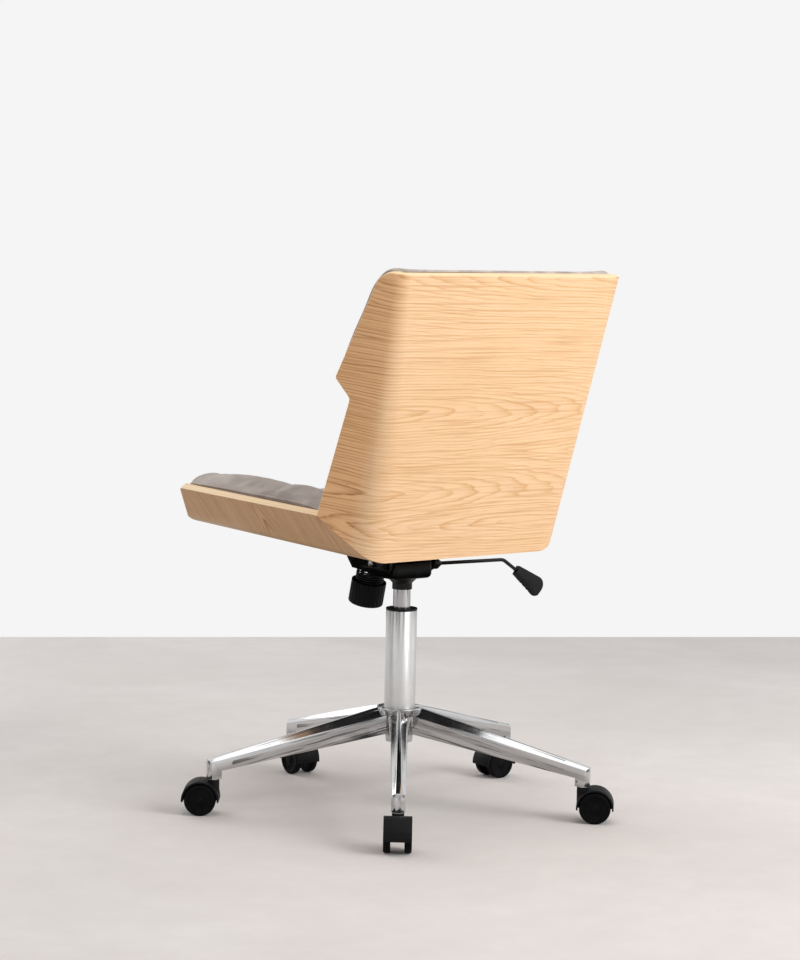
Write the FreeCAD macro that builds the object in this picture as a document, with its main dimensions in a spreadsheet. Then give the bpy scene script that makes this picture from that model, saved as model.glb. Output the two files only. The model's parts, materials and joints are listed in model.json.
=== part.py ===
import FreeCAD, Part
import Sketcher
import math
import os
from FreeCAD import Placement, Rotation, Vector

# Swivel desk chair with a bent ply seat and back, lined with padded fabric, on a five-star base.
# Millimetres. Z is up, the sitter faces -Y, +X is the sitter's left hand.
# The origin lies on the floor under the column. The base stands turned as the chair was seen.

doc = FreeCAD.newDocument("desk_chair")
sheet = doc.addObject("Spreadsheet::Sheet", "dim")

SIZES = {
    # gas column
    "column_radius": 25.0,
    "column_wall": 2.0,
    "column_foot": 105.0,
    "column_floor": 5.0,
    "column_clear": 34.0,
    "taper_top": 168.0,
    "taper_radius": 21.5,
    "taper_wall": 2.5,
    "collar_height": 3.5,
    "collar_lip": 0.3,
    "sleeve_lift": 72.0,
    "slide_gap": 0.3,
    "running_gap": 0.05,
    "cylinder_radius": 14.0,
    "cylinder_wall": 1.5,
    "cylinder_foot": 160.0,
    "cylinder_inset": 0.5,
    "cylinder_lid": 7.5,
    "cone_length": 27.0,
    "cone_drop": 0.8,
    "rod_radius": 5.0,
    "rod_tail": 4.0,
    "rod_clear": 79.5,
    "shoulder_radius": 9.0,
    "shoulder_height": 2.7,
    "piston_height": 12.0,
    "bearing_radius": 16.0,
    "bearing_height": 5.0,
    "clip_radius": 9.0,
    "clip_height": 1.6,
    "end_guide_height": 15.0,
    "pin_stem_radius": 2.5,
    "pin_head_radius": 4.0,
    "pin_head_height": 2.5,
    "pin_travel": 4.7,
    # star base
    "base_turn": 51.3,
    "stem_circle": 306.7,
    "hub_top": 160.0,
    "hub_bottom": 118.0,
    "hub_radius": 30.0,
    "hub_rim_radius": 38.0,
    "hub_rim_height": 12.0,
    "hub_mouth_gap": 2.0,
    "arm_root": 20.0,
    "arm_root_top": 165.5,
    "arm_root_height": 45.0,
    "arm_root_width": 28.0,
    "arm_root_shoulder": 15.0,
    "arm_tip_top": 87.0,
    "arm_tip_width": 21.4,
    "arm_tip_shoulder": 5.5,
    "arm_ridge": 4.0,
    "arm_crease": 1.6,
    "arm_hollow_start": 45.0,
    "arm_hollow_end": 282.0,
    "arm_wall": 4.0,
    "boss_bottom": 57.5,
    "boss_radius": 10.7,
    "socket_depth": 22.0,
    # castors
    "wheel_radius": 25.0,
    "wheel_width": 11.0,
    "wheel_gap": 21.0,
    "wheel_edge": 2.5,
    "wheel_dish": 1.2,
    "wheel_dish_radius": 19.0,
    "axle_radius": 3.0,
    "axle_play": 2.0,
    "trail": 20.0,
    "hood_inner": 27.0,
    "hood_wall": 2.6,
    "hood_dip": 3.0,
    "web_thickness": 5.0,
    "axle_boss_radius": 7.0,
    "stem_boss_radius": 9.3,
    "stem_boss_bottom": 33.0,
    "stem_radius": 5.5,
    "stem_foot": 36.0,
    "stem_foot_radius": 4.5,
    "collar_ring_radius": 8.0,
    "collar_ring_height": 2.3,
    # seat tray
    "ply": 15.0,
    "tray_radius": 35.0,
    "heel_radius": 50.0,
    "crest_radius": 28.0,
    "tray_bend": 182.0,
    "tray_rise": 32.5,
    "tray_tilt": 2.13,
    "tray_front": 337.0,
    "tray_front_top": 302.5,
    "nose_low": 12.0,
    "tray_flare": 38.7,
    "flange_front": 78.0,
    "mitre_lean": 43.6,
    "flange_rear": 113.0,
    "flare_rear": 30.05,
    # back
    "back_foot": 151.4,
    "back_recline": 13.6,
    "back_height": 452.0,
    "back_bend_top": 217.7,
    "wing_flare": 31.0,
    "wing_stock": 125.0,
    "wing_low": 97.0,
    "wing_low_up": 57.0,
    "wing_waist": 63.5,
    "wing_waist_up": 250.0,
    "wing_tip": 90.0,
    "wing_tip_up": 278.0,
    "wing_top": 43.0,
    "wing_shoulder": 30.0,
    # cushions
    "pad": 39.0,
    "pad_crown": 4.0,
    "pad_gap": 0.4,
    "pad_inset": 3.0,
    "pad_edge": 13.0,
    "pad_side_share": 1.17,
    "pad_valley": 26.0,
    "seat_roll": 7.0,
    "back_roll": 1.5,
    "board": 6.0,
    "board_half_width": 130.0,
    "seat_board_front": 270.0,
    "seat_board_rear": 95.0,
    "back_board_low": 70.0,
    "back_board_high": 400.0,
    # tilt mechanism
    "pivot_back": -23.2,
    "pivot_height": 392.7,
    "pivot_radius": 4.0,
    "pivot_head": 5.6,
    "bush_radius": 6.0,
    "bush_rim": 9.0,
    "steel": 3.0,
    "pan_half_width": 39.4,
    "pan_front": -42.0,
    "pan_rear": 31.0,
    "pan_drop": 22.7,
    "pan_height": 27.0,
    "pan_wall": 2.5,
    "pan_corner": 9.0,
    "socket_radius": 16.0,
    "socket_below": 18.0,
    "socket_above": 10.0,
    "flare_height": 8.0,
    "flare_radius": 25.0,
    "lip_half_width": 29.0,
    "lip_hole": 12.0,
    "flange_half": 44.0,
    "plate_half_width": 75.0,
    "plate_front": -118.0,
    "plate_rear": 62.0,
    "screw_across": 62.0,
    "screw_front": -104.0,
    "screw_rear": 48.0,
    "screw_radius": 3.0,
    "screw_head": 6.0,
    "screw_head_height": 3.5,
    "tee_barrel": 4.5,
    "tee_rim": 9.0,
    "tee_rim_height": 1.5,
    # tension knob and spring
    "knob_axis_back": -86.0,
    "knob_below": 14.8,
    "knob_lean": 13.6,
    "knob_radius": 28.6,
    "knob_height": 38.5,
    "knob_bore": 25.2,
    "knob_floor": 10.5,
    "flute_radius": 2.0,
    "spring_mean": 22.0,
    "spring_wire": 1.4,
    "spring_turns": 12.0,
    "spring_room": 27.0,
    "washer_height": 2.0,
    "cup_height": 3.0,
    "bolt_radius": 5.0,
    "bolt_head": 9.0,
    "bolt_head_height": 5.0,
    # lever
    "lever_pivot": -30.0,
    "lever_pivot_drop": 3.3,
    "lever_slope": 1.1,
    "lever_rod": 3.0,
    "lever_inner": 40.0,
    "lever_straight": 178.0,
    "lever_bend": 20.0,
    "lever_drop": 32.6,
    "lever_tail": 51.0,
    "lever_bush": 9.0,
    "lever_bush_length": 40.0,
    "lever_nose": 8.0,
    "lever_nose_radius": 4.2,
    "trunnion": 3.0,
    "ear": 3.0,
    "ear_gap": 0.6,
    "grip_start": 29.0,
    "grip_length": 66.5,
    "grip_bevel": 5.7,
    "grip_thickness": 9.0,
}

for row, (alias, value) in enumerate(SIZES.items(), start=1):
    sheet.set("A%d" % row, alias)
    sheet.set("B%d" % row, str(value))
    sheet.setAlias("B%d" % row, alias)
doc.recompute()

NODES = []


def size(alias):
    return float(sheet.get(alias))


def node(item, label):
    """Register an object of the document as one finished piece."""
    item.Label = label
    NODES.append(item)
    return item


def bind(item, **formulas):
    for prop, formula in formulas.items():
        item.setExpression(prop, formula)


def place(item, x="0", y="0", z="0"):
    for axis, formula in (("x", x), ("y", y), ("z", z)):
        if formula != "0":
            item.setExpression("Placement.Base." + axis, formula)


def turned(item, axis, angle):
    item.Placement = Placement(Vector(0, 0, 0), Rotation(axis, angle))


# Heights that follow the tilt pivot: the seat above it, then the pan, the column's socket and
# the column below it. Their names in capitals are formulas.

PAN_BOTTOM = "(dim.pivot_height - dim.pan_drop)"
LEVER_HEIGHT = "(dim.pivot_height - dim.lever_pivot_drop)"
SOCKET_BOTTOM = "(%s - dim.socket_below)" % PAN_BOTTOM
SOCKET_TOP = "(%s + dim.socket_above)" % PAN_BOTTOM
CYLINDER_TOP = "(%s - dim.cylinder_inset)" % SOCKET_TOP
COLUMN_TOP = "(%s - dim.column_clear)" % SOCKET_BOTTOM
SLEEVE_BOTTOM = "(dim.taper_top + dim.sleeve_lift)"
ROD_TOP = "(%s - dim.rod_clear)" % CYLINDER_TOP
pan_bottom = size("pivot_height") - size("pan_drop")


def cylinder(name, radius, height, x="0", y="0", z="0", along=None):
    item = doc.addObject("Part::Cylinder", name)
    if along == "x":
        turned(item, Vector(0, 1, 0), 90)
    if along == "y":
        turned(item, Vector(1, 0, 0), -90)
    bind(item, Radius=radius, Height=height)
    place(item, x, y, z)
    return item


def cone(name, low, high, height, x="0", y="0", z="0", along=None):
    item = doc.addObject("Part::Cone", name)
    if along == "-x":
        turned(item, Vector(0, 1, 0), -90)
    bind(item, Radius1=low, Radius2=high, Height=height)
    place(item, x, y, z)
    return item


def box(name, length, width, height, x="0", y="0", z="0"):
    item = doc.addObject("Part::Box", name)
    bind(item, Length=length, Width=width, Height=height)
    place(item, x, y, z)
    return item


def cut(name, base, *tools):
    for number, tool in enumerate(tools, start=1):
        step = doc.addObject("Part::Cut", "%s_cut%d" % (name, number))
        step.Base = base
        step.Tool = tool
        base = step
    return base


def fuse(name, *shapes):
    item = doc.addObject("Part::MultiFuse", name + "_fuse")
    item.Shapes = list(shapes)
    return item


def common(name, first, second):
    item = doc.addObject("Part::MultiCommon", name + "_common")
    item.Shapes = [first, second]
    return item


def group(name, items):
    item = doc.addObject("Part::Compound", name + "_group")
    item.Links = list(items)
    return item


def round_edges(name, base, radius, chosen):
    """Fillet the edges of base that the function chosen accepts."""
    doc.recompute()
    item = doc.addObject("Part::Fillet", name + "_round")
    item.Base = base
    edges = [i for i, edge in enumerate(base.Shape.Edges, start=1) if chosen(edge)]
    item.Edges = [(i, radius, radius) for i in edges]
    return item


def copy_of(name, master, where):
    item = doc.addObject("Part::Compound", name + "_copy")
    item.Links = [master]
    item.Placement = where
    return item


def new_body(name):
    return doc.addObject("PartDesign::Body", name + "_body")


def base_plane(body, role):
    for feature in body.Origin.OriginFeatures:
        if feature.Role == role:
            return feature
    raise ValueError(role)


def new_sketch(body, name, role, offset=None):
    sketch = body.newObject("Sketcher::SketchObject", name)
    sketch.AttachmentSupport = [(base_plane(body, role), "")]
    sketch.MapMode = "FlatFace"
    if offset is not None:
        sketch.AttachmentOffset = offset
    return sketch


def polygon(sketch, corners):
    """A closed outline whose corners are held at the places that the formulas give."""
    count = len(corners)
    ring = [Vector(math.cos(i * 2 * math.pi / count), math.sin(i * 2 * math.pi / count), 0)
            for i in range(count)]
    for i in range(count):
        sketch.addGeometry(Part.LineSegment(ring[i], ring[(i + 1) % count]), False)
    for i in range(count):
        sketch.addConstraint(Sketcher.Constraint("Coincident", i, 2, (i + 1) % count, 1))
    for i, corner in enumerate(corners):
        for kind, formula in zip(("DistanceX", "DistanceY"), corner):
            held = sketch.addConstraint(Sketcher.Constraint(kind, -1, 1, i, 1, 1.0))
            sketch.setExpression("Constraints[%d]" % held, formula)


def plate(name, corners, thickness, start):
    """A flat sheet parallel to the YZ plane: corners are (y, z), start is its lower x."""
    body = new_body(name)
    sketch = new_sketch(body, name + "_outline", "YZ_Plane")
    sketch.setExpression("AttachmentOffset.Base.z", start)
    polygon(sketch, corners)
    pad = body.newObject("PartDesign::Pad", name + "_pad")
    pad.Profile = sketch
    bind(pad, Length=thickness)
    return body


def rounded(corners):
    """Edges of a closed outline from (x, y, radius) corners, each rounded by its radius.
    Where two roundings don't fit on the side between them, both are made smaller."""
    points = [Vector(x, y, 0) for x, y, radius in corners]
    count = len(points)
    halves = []
    reaches = []
    for i in range(count):
        back = points[i - 1] - points[i]
        ahead = points[(i + 1) % count] - points[i]
        halves.append(back.getAngle(ahead) / 2)
        reaches.append(corners[i][2] / math.tan(halves[i]))
    fits = [1.0] * count
    for i in range(count):
        j = (i + 1) % count
        room = 0.96 * points[i].distanceToPoint(points[j])
        if reaches[i] + reaches[j] > room:
            share = room / (reaches[i] + reaches[j])
            fits[i] = min(fits[i], share)
            fits[j] = min(fits[j], share)
    ends = []
    for i in range(count):
        reach = reaches[i] * fits[i]
        radius = reach * math.tan(halves[i])
        if radius <= 0:
            ends.append((points[i], None, points[i]))
            continue
        back = (points[i - 1] - points[i]).normalize()
        ahead = (points[(i + 1) % count] - points[i]).normalize()
        middle = (back + ahead).normalize()
        gap = radius / math.sin(halves[i]) - radius
        ends.append((points[i] + back * reach, points[i] + middle * gap, points[i] + ahead * reach))
    edges = []
    for i, (start, through, end) in enumerate(ends):
        if through is not None:
            edges.append(Part.Arc(start, through, end))
        edges.append(Part.LineSegment(end, ends[(i + 1) % count][0]))
    return edges


def in_frame(edges, frame):
    """The edges as one wire in space."""
    wire = Part.Wire([edge.toShape() for edge in edges])
    wire.Placement = frame
    return wire


# Gas column: outer tube with a tapered foot, guide sleeve, rod on a thrust bearing.

tube = fuse(
    "column",
    cylinder("column_shaft", "dim.column_radius", COLUMN_TOP + " - dim.taper_top", z="dim.taper_top"),
    cone("column_taper", "dim.taper_radius", "dim.column_radius", "dim.taper_top - dim.column_foot",
         z="dim.column_foot"),
)
tube = cut(
    "column", tube,
    cylinder("column_bore", "dim.column_radius - dim.column_wall",
             COLUMN_TOP + " - dim.taper_top + 1", z="dim.taper_top"),
    cylinder("column_low_bore", "dim.taper_radius - dim.taper_wall",
             "dim.taper_top - dim.column_foot - dim.column_floor + 1",
             z="dim.column_foot + dim.column_floor"),
    cylinder("column_rod_hole", "dim.rod_radius + 1", "dim.column_floor + 2", z="dim.column_foot - 1"),
)
node(tube, "column_outer_tube")

sleeve = fuse(
    "sleeve",
    cylinder("sleeve_body", "dim.column_radius - dim.column_wall - dim.running_gap",
             "%s - %s + 0.5" % (COLUMN_TOP, SLEEVE_BOTTOM), z=SLEEVE_BOTTOM),
    cylinder("sleeve_collar", "dim.column_radius + dim.collar_lip", "dim.collar_height",
             z=COLUMN_TOP),
)
sleeve = cut("sleeve", sleeve,
             cylinder("sleeve_bore", "dim.cylinder_radius + dim.running_gap",
                      "%s - %s + dim.collar_height + 2" % (COLUMN_TOP, SLEEVE_BOTTOM),
                      z=SLEEVE_BOTTOM + " - 1"))
node(sleeve, "column_guide_sleeve")

bearing = cut("bearing",
              cylinder("bearing_ring", "dim.bearing_radius", "dim.bearing_height",
                       z="dim.column_foot + dim.column_floor"),
              cylinder("bearing_bore", "dim.rod_radius + dim.running_gap", "dim.bearing_height + 2",
                       z="dim.column_foot + dim.column_floor - 1"))
node(bearing, "thrust_bearing")

rod = fuse(
    "rod",
    cylinder("rod_shaft", "dim.rod_radius", ROD_TOP + " - dim.column_foot + dim.rod_tail",
             z="dim.column_foot - dim.rod_tail"),
    cylinder("rod_shoulder", "dim.shoulder_radius", "dim.shoulder_height",
             z="dim.column_foot + dim.column_floor + dim.bearing_height + dim.slide_gap"),
)
node(rod, "piston_rod")

piston = cut("piston",
             cylinder("piston_disc", "dim.cylinder_radius - dim.cylinder_wall - dim.running_gap",
                      "dim.piston_height", z=ROD_TOP + " - dim.piston_height - 2"),
             cylinder("piston_bore", "dim.rod_radius", "dim.piston_height + 2",
                      z=ROD_TOP + " - dim.piston_height - 3"))
node(piston, "piston")

clip = cut("clip",
           cylinder("clip_ring", "dim.clip_radius", "dim.clip_height",
                    z="dim.column_foot - dim.slide_gap - dim.clip_height"),
           cylinder("clip_bore", "dim.rod_radius", "dim.clip_height + 2",
                    z="dim.column_foot - dim.slide_gap - dim.clip_height - 1"))
node(clip, "retaining_clip")

gas = fuse(
    "gas",
    cylinder("gas_tube", "dim.cylinder_radius",
             CYLINDER_TOP + " - dim.cone_length - dim.cylinder_foot", z="dim.cylinder_foot"),
    cone("gas_cone", "dim.cylinder_radius", "dim.cylinder_radius - dim.cone_drop", "dim.cone_length",
         z=CYLINDER_TOP + " - dim.cone_length"),
)
gas = cut(
    "gas", gas,
    cylinder("gas_chamber", "dim.cylinder_radius - dim.cylinder_wall",
             CYLINDER_TOP + " - dim.cylinder_lid - dim.cylinder_foot + 1", z="dim.cylinder_foot - 1"),
    cylinder("gas_pin_hole", "dim.pin_stem_radius + dim.running_gap", "dim.cylinder_lid + 2",
             z=CYLINDER_TOP + " - dim.cylinder_lid - 1"),
)
node(gas, "pressure_tube")

end_guide = cut("end_guide",
                cylinder("end_guide_plug", "dim.cylinder_radius - dim.cylinder_wall",
                         "dim.end_guide_height", z="dim.cylinder_foot"),
                cylinder("end_guide_bore", "dim.rod_radius + dim.running_gap",
                         "dim.end_guide_height + 2", z="dim.cylinder_foot - 1"))
node(end_guide, "cylinder_end_guide")

release = fuse(
    "release",
    cylinder("release_stem", "dim.pin_stem_radius", "dim.cylinder_lid + dim.pin_travel",
             z=CYLINDER_TOP + " - dim.cylinder_lid + 0.5"),
    cylinder("release_head", "dim.pin_head_radius", "dim.pin_head_height",
             z=CYLINDER_TOP + " + dim.pin_travel"),
)
node(release, "release_pin")


# Star base: a waisted hub and five hollow arms that turn down into the castor bosses.

def arm_outline(top, width, height, shoulder, ridge, crease):
    """Half of the arm's faceted section from its ridge down, as (across, up) corners."""
    return [
        (ridge, top),
        ("%s - %s" % (width, crease), "%s - (%s) + dim.arm_crease" % (top, shoulder)),
        (width, "%s - (%s)" % (top, shoulder)),
        (width, "%s - (%s)" % (top, height)),
    ]


def both_sides(half):
    left = [("-(%s)" % across, up) for across, up in reversed(half)]
    return [(across, up) for across, up in half] + left


def section_at(body, name, origin, across, up):
    """A sketch whose plane holds the directions across and up, through origin."""
    frame = Placement(origin, Rotation(across, up, across.cross(up), "ZXY"))
    return new_sketch(body, name, "XY_Plane", frame)


arm = new_body("arm")
ARM_ACROSS = Vector(0, 1, 0)
OUTER_CORNER = size("stem_circle") + size("boss_radius")
MITRE_RISE = math.radians(37.5)
mitre_up = Vector(math.cos(MITRE_RISE), 0, math.sin(MITRE_RISE))
root_section = section_at(arm, "arm_root_section", Vector(size("arm_root"), 0, 0), ARM_ACROSS,
                          Vector(0, 0, 1))
polygon(root_section, both_sides(arm_outline(
    "dim.arm_root_top", "dim.arm_root_width / 2", "dim.arm_root_height", "dim.arm_root_shoulder",
    "dim.arm_ridge / 2", "dim.arm_crease")))
MITRE_LENGTH = "2 * dim.boss_radius / cos(37.5)"
tip_section = section_at(arm, "arm_tip_section", Vector(OUTER_CORNER, 0, size("arm_tip_top")),
                         ARM_ACROSS, mitre_up)
polygon(tip_section, both_sides(arm_outline(
    "0", "dim.arm_tip_width / 2", MITRE_LENGTH, "dim.arm_tip_shoulder / cos(37.5)",
    "dim.arm_ridge", "dim.arm_crease")))
foot_section = section_at(arm, "boss_foot_section", Vector(OUTER_CORNER, 0, size("boss_bottom")),
                          ARM_ACROSS, Vector(1, 0, 0))
polygon(foot_section, both_sides(arm_outline(
    "0", "dim.arm_tip_width / 2", "2 * dim.boss_radius", "dim.arm_tip_shoulder",
    "dim.arm_ridge", "dim.arm_crease")))
for name, first, second in (("arm_beam", root_section, tip_section),
                            ("arm_boss", tip_section, foot_section)):
    loft = arm.newObject("PartDesign::AdditiveLoft", name)
    loft.Profile = first
    loft.Sections = [second]
    loft.Ruled = True


def arm_height(reach):
    """Top of the arm and its depth at a distance from the column's axis."""
    share = (reach - size("arm_root")) / (OUTER_CORNER - size("arm_root"))
    top = size("arm_root_top") + (size("arm_tip_top") - size("arm_root_top")) * share
    tip_depth = 2 * size("boss_radius") * math.tan(MITRE_RISE)
    depth = size("arm_root_height") + (tip_depth - size("arm_root_height")) * share
    width = size("arm_root_width") + (size("arm_tip_width") - size("arm_root_width")) * share
    return top, depth, width


def hollow_section(name, alias):
    reach = size(alias)
    top, depth, width = arm_height(reach)
    sketch = section_at(arm, name, Vector(reach, 0, top - depth), ARM_ACROSS, Vector(0, 0, 1))
    half = width / 2 - size("arm_wall")
    ceiling = depth * 0.42
    points = [(half, -3.0), (half, ceiling), (half * 0.5, ceiling + depth * 0.2),
              (-half * 0.5, ceiling + depth * 0.2), (-half, ceiling), (-half, -3.0)]
    for i in range(len(points)):
        start = Vector(points[i][0], points[i][1], 0)
        end = Vector(points[(i + 1) % len(points)][0], points[(i + 1) % len(points)][1], 0)
        sketch.addGeometry(Part.LineSegment(start, end), False)
    return sketch


hollow = arm.newObject("PartDesign::SubtractiveLoft", "arm_hollow")
hollow.Profile = hollow_section("hollow_start", "arm_hollow_start")
hollow.Sections = [hollow_section("hollow_end", "arm_hollow_end")]
hollow.Ruled = True
arm.Tip = hollow

hub = fuse(
    "hub",
    cylinder("hub_barrel", "dim.hub_radius", "dim.hub_top - dim.hub_bottom", z="dim.hub_bottom"),
    cone("hub_rim", "dim.hub_radius", "dim.hub_rim_radius", "dim.hub_rim_height",
         z="dim.hub_top - dim.hub_rim_height"),
)
arms = [copy_of("arm_%d" % i, arm,
                Placement(Vector(0, 0, 0), Rotation(Vector(0, 0, 1), size("base_turn") + 72.0 * i)))
        for i in range(5)]
star = fuse("star", hub, *arms)
sockets = []
for i in range(5):
    turn = "(dim.base_turn + %d)" % (72 * i)
    sockets.append(cylinder("socket_%d" % i, "dim.stem_radius + dim.running_gap",
                            "dim.socket_depth + 1", x="dim.stem_circle * cos(%s)" % turn,
                            y="dim.stem_circle * sin(%s)" % turn, z="dim.boss_bottom - 1"))
star = cut(
    "star", star,
    cylinder("hub_top_face", "dim.hub_rim_radius * 1.3", "30", z="dim.hub_top"),
    cone("hub_bore", "dim.taper_radius", "dim.column_radius", "dim.taper_top - dim.column_foot",
         z="dim.column_foot"),
    cone("hub_mouth", "dim.column_radius - 1", "dim.column_radius + dim.hub_mouth_gap", "8.1",
         z="dim.hub_top - 8"),
    *sockets,
)
node(star, "star_base")


# Castors: a hood on a steel stem, two wheels on one axle. Built once, then set under each arm.
# In the master the stem stands on the Z axis and the axle lies behind it, along +X.

stem = fuse(
    "stem",
    cylinder("stem_top", "dim.stem_radius", "dim.socket_depth", z="dim.boss_bottom"),
    cylinder("stem_ring", "dim.collar_ring_radius", "dim.collar_ring_height",
             z="dim.boss_bottom - dim.collar_ring_height"),
    cylinder("stem_foot", "dim.stem_foot_radius",
             "dim.boss_bottom - dim.collar_ring_height - dim.stem_foot + 0.5", z="dim.stem_foot"),
)
HOOD_WIDTH = "dim.wheel_gap + 2 * dim.wheel_width"
hood_ring = cut("hood_ring",
                cylinder("hood_drum", "dim.hood_inner + dim.hood_wall", HOOD_WIDTH, x="dim.trail",
                         y="-(%s) / 2" % HOOD_WIDTH, z="dim.wheel_radius", along="y"),
                cylinder("hood_room", "dim.hood_inner", "(%s) + 2" % HOOD_WIDTH, x="dim.trail",
                         y="-(%s) / 2 - 1" % HOOD_WIDTH, z="dim.wheel_radius", along="y"))
hood = fuse(
    "hood", hood_ring,
    cylinder("hood_web", "dim.hood_inner + 1", "dim.web_thickness", x="dim.trail",
             y="-dim.web_thickness / 2", z="dim.wheel_radius", along="y"),
)
hood = cut("hood", hood,
           box("hood_open", "4 * dim.wheel_radius", "4 * dim.wheel_radius", "2 * dim.wheel_radius",
               x="dim.trail - 2 * dim.wheel_radius", y="-2 * dim.wheel_radius",
               z="dim.wheel_radius - dim.hood_dip - 2 * dim.wheel_radius"))
hood = fuse(
    "hood_whole", hood,
    cylinder("hood_stem_boss", "dim.stem_boss_radius",
             "dim.boss_bottom - dim.collar_ring_height - 0.3 - dim.stem_boss_bottom",
             z="dim.stem_boss_bottom"),
    cylinder("hood_axle_boss", "dim.axle_boss_radius", "dim.wheel_gap - 0.6", x="dim.trail",
             y="-dim.wheel_gap / 2 + 0.3", z="dim.wheel_radius", along="y"),
)
hood = cut("hood_whole", hood,
           cylinder("hood_stem_bore", "dim.stem_foot_radius + dim.running_gap",
                    "dim.boss_bottom - dim.stem_foot + 0.5", z="dim.stem_foot - 0.5"),
           cylinder("hood_axle_bore", "dim.axle_radius", "dim.wheel_gap + 2", x="dim.trail",
                    y="-dim.wheel_gap / 2 - 1", z="dim.wheel_radius", along="y"))
AXLE_LENGTH = "dim.wheel_gap + 2 * dim.wheel_width - 2 * dim.axle_play - 3"
axle = cylinder("axle", "dim.axle_radius", AXLE_LENGTH, x="dim.trail", y="-(%s) / 2" % AXLE_LENGTH,
                z="dim.wheel_radius", along="y")


def castor_wheel(side, near):
    """One wheel: near is the formula of its inner face, side is +1 or -1 along Y."""
    name = "wheel_left" if side > 0 else "wheel_right"
    far = "%s + dim.wheel_width" % near
    low = near if side > 0 else "-(%s)" % far
    disc = cylinder(name + "_disc", "dim.wheel_radius", "dim.wheel_width", x="dim.trail", y=low,
                    z="dim.wheel_radius", along="y")
    disc = round_edges(name, disc, size("wheel_edge"),
                       lambda edge: isinstance(edge.Curve, Part.Circle))
    dish_low = "%s - dim.wheel_dish" % far if side > 0 else "-(%s) - 1" % far
    dish = cylinder(name + "_dish", "dim.wheel_dish_radius", "dim.wheel_dish + 1", x="dim.trail",
                    y=dish_low, z="dim.wheel_radius", along="y")
    hub_low = "%s - dim.wheel_dish - 1" % far if side > 0 else "-(%s) + 0.3" % far
    cap = cylinder(name + "_cap", "dim.axle_boss_radius", "dim.wheel_dish + 0.7", x="dim.trail",
                   y=hub_low, z="dim.wheel_radius", along="y")
    bore_low = "%s - 1" % near if side > 0 else "-(%s) + dim.axle_play + 1" % far
    bore = cylinder(name + "_bore", "dim.axle_radius + dim.running_gap",
                    "dim.wheel_width - dim.axle_play", x="dim.trail", y=bore_low,
                    z="dim.wheel_radius", along="y")
    return cut(name + "_bored", fuse(name, cut(name + "_dished", disc, dish), cap), bore)


wheel_left = castor_wheel(1, "dim.wheel_gap / 2")
wheel_right = castor_wheel(-1, "dim.wheel_gap / 2")

CASTOR_TURN = {"a": -38.9, "b": 51.1, "c": 136.0, "d": -2.0, "e": 87.0}
CASTOR_ARM = {"b": 0, "a": 4, "c": 1, "e": 3, "d": 2}
for letter, arm_number in sorted(CASTOR_ARM.items()):
    spoke = math.radians(size("base_turn") + 72.0 * arm_number)
    foot = Vector(size("stem_circle") * math.cos(spoke), size("stem_circle") * math.sin(spoke), 0)
    where = Placement(foot, Rotation(Vector(0, 0, 1), CASTOR_TURN[letter]))
    for piece, master in (("stem", stem), ("hood", hood), ("axle", axle),
                          ("wheel_left", wheel_left), ("wheel_right", wheel_right)):
        label = "castor_%s_%s" % (letter, piece)
        node(copy_of(label, master, where), label)


# Tilt housing: a pressed pan with the column socket under it and a lip for the spring.

def pan_edge(edge):
    box_ = edge.BoundBox
    upright_corner = box_.XLength < 0.01 and box_.YLength < 0.01
    at_floor = box_.ZMax < pan_bottom + 0.01
    return upright_corner or at_floor


pan_block = box("pan_block", "2 * dim.pan_half_width", "dim.pan_rear - dim.pan_front",
                "dim.pan_height", x="-dim.pan_half_width", y="dim.pan_front", z=PAN_BOTTOM)
pan_block = round_edges("pan_outer", pan_block, size("pan_corner"), pan_edge)
pan_room = box("pan_room", "2 * (dim.pan_half_width - dim.pan_wall)",
               "dim.pan_rear - dim.pan_front - 2 * dim.pan_wall", "dim.pan_height",
               x="-dim.pan_half_width + dim.pan_wall", y="dim.pan_front + dim.pan_wall",
               z=PAN_BOTTOM + " + dim.pan_wall")


def pan_room_edge(edge):
    box_ = edge.BoundBox
    upright_corner = box_.XLength < 0.01 and box_.YLength < 0.01
    at_floor = box_.ZMax < pan_bottom + size("pan_wall") + 0.01
    return upright_corner or at_floor


pan_room = round_edges("pan_inner", pan_room, size("pan_corner") - size("pan_wall"), pan_room_edge)
pan = cut("pan", pan_block, pan_room)

lean = math.radians(size("knob_lean"))
KNOB_AXIS = Vector(0, math.sin(lean), math.cos(lean))
KNOB_TOP = Vector(0, size("knob_axis_back"), pan_bottom - size("knob_below"))
knob_turn = Rotation(Vector(1, 0, 0), -size("knob_lean"))


def on_knob_axis(height):
    """A frame on the knob's axis, height above the knob's rim."""
    return Placement(KNOB_TOP + KNOB_AXIS * height, knob_turn)


LIP_HEIGHT = size("spring_room") + size("washer_height") + size("slide_gap")
lip = box("lip", "2 * dim.lip_half_width", "66", "dim.steel")
lip.Placement = on_knob_axis(LIP_HEIGHT).multiply(
    Placement(Vector(-size("lip_half_width"), -28, 0), Rotation()))
cheeks = [plate("cheek_%s" % side,
                [("dim.pan_front + dim.pan_wall", PAN_BOTTOM + " + 9"),
                 ("dim.pan_front + dim.pan_wall", PAN_BOTTOM + " + 26"),
                 ("dim.pan_front - 22", PAN_BOTTOM + " + 26"),
                 ("dim.pan_front - 58", PAN_BOTTOM + " + 22"),
                 ("dim.pan_front - 63", PAN_BOTTOM + " + 18.5"),
                 ("dim.pan_front - 30", PAN_BOTTOM + " + 10.6")],
                "dim.pan_wall", start)
          for side, start in (("left", "dim.lip_half_width - dim.pan_wall"),
                              ("right", "-dim.lip_half_width"))]
EAR_NEAR = "dim.lever_bush + dim.ear_gap"
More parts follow.
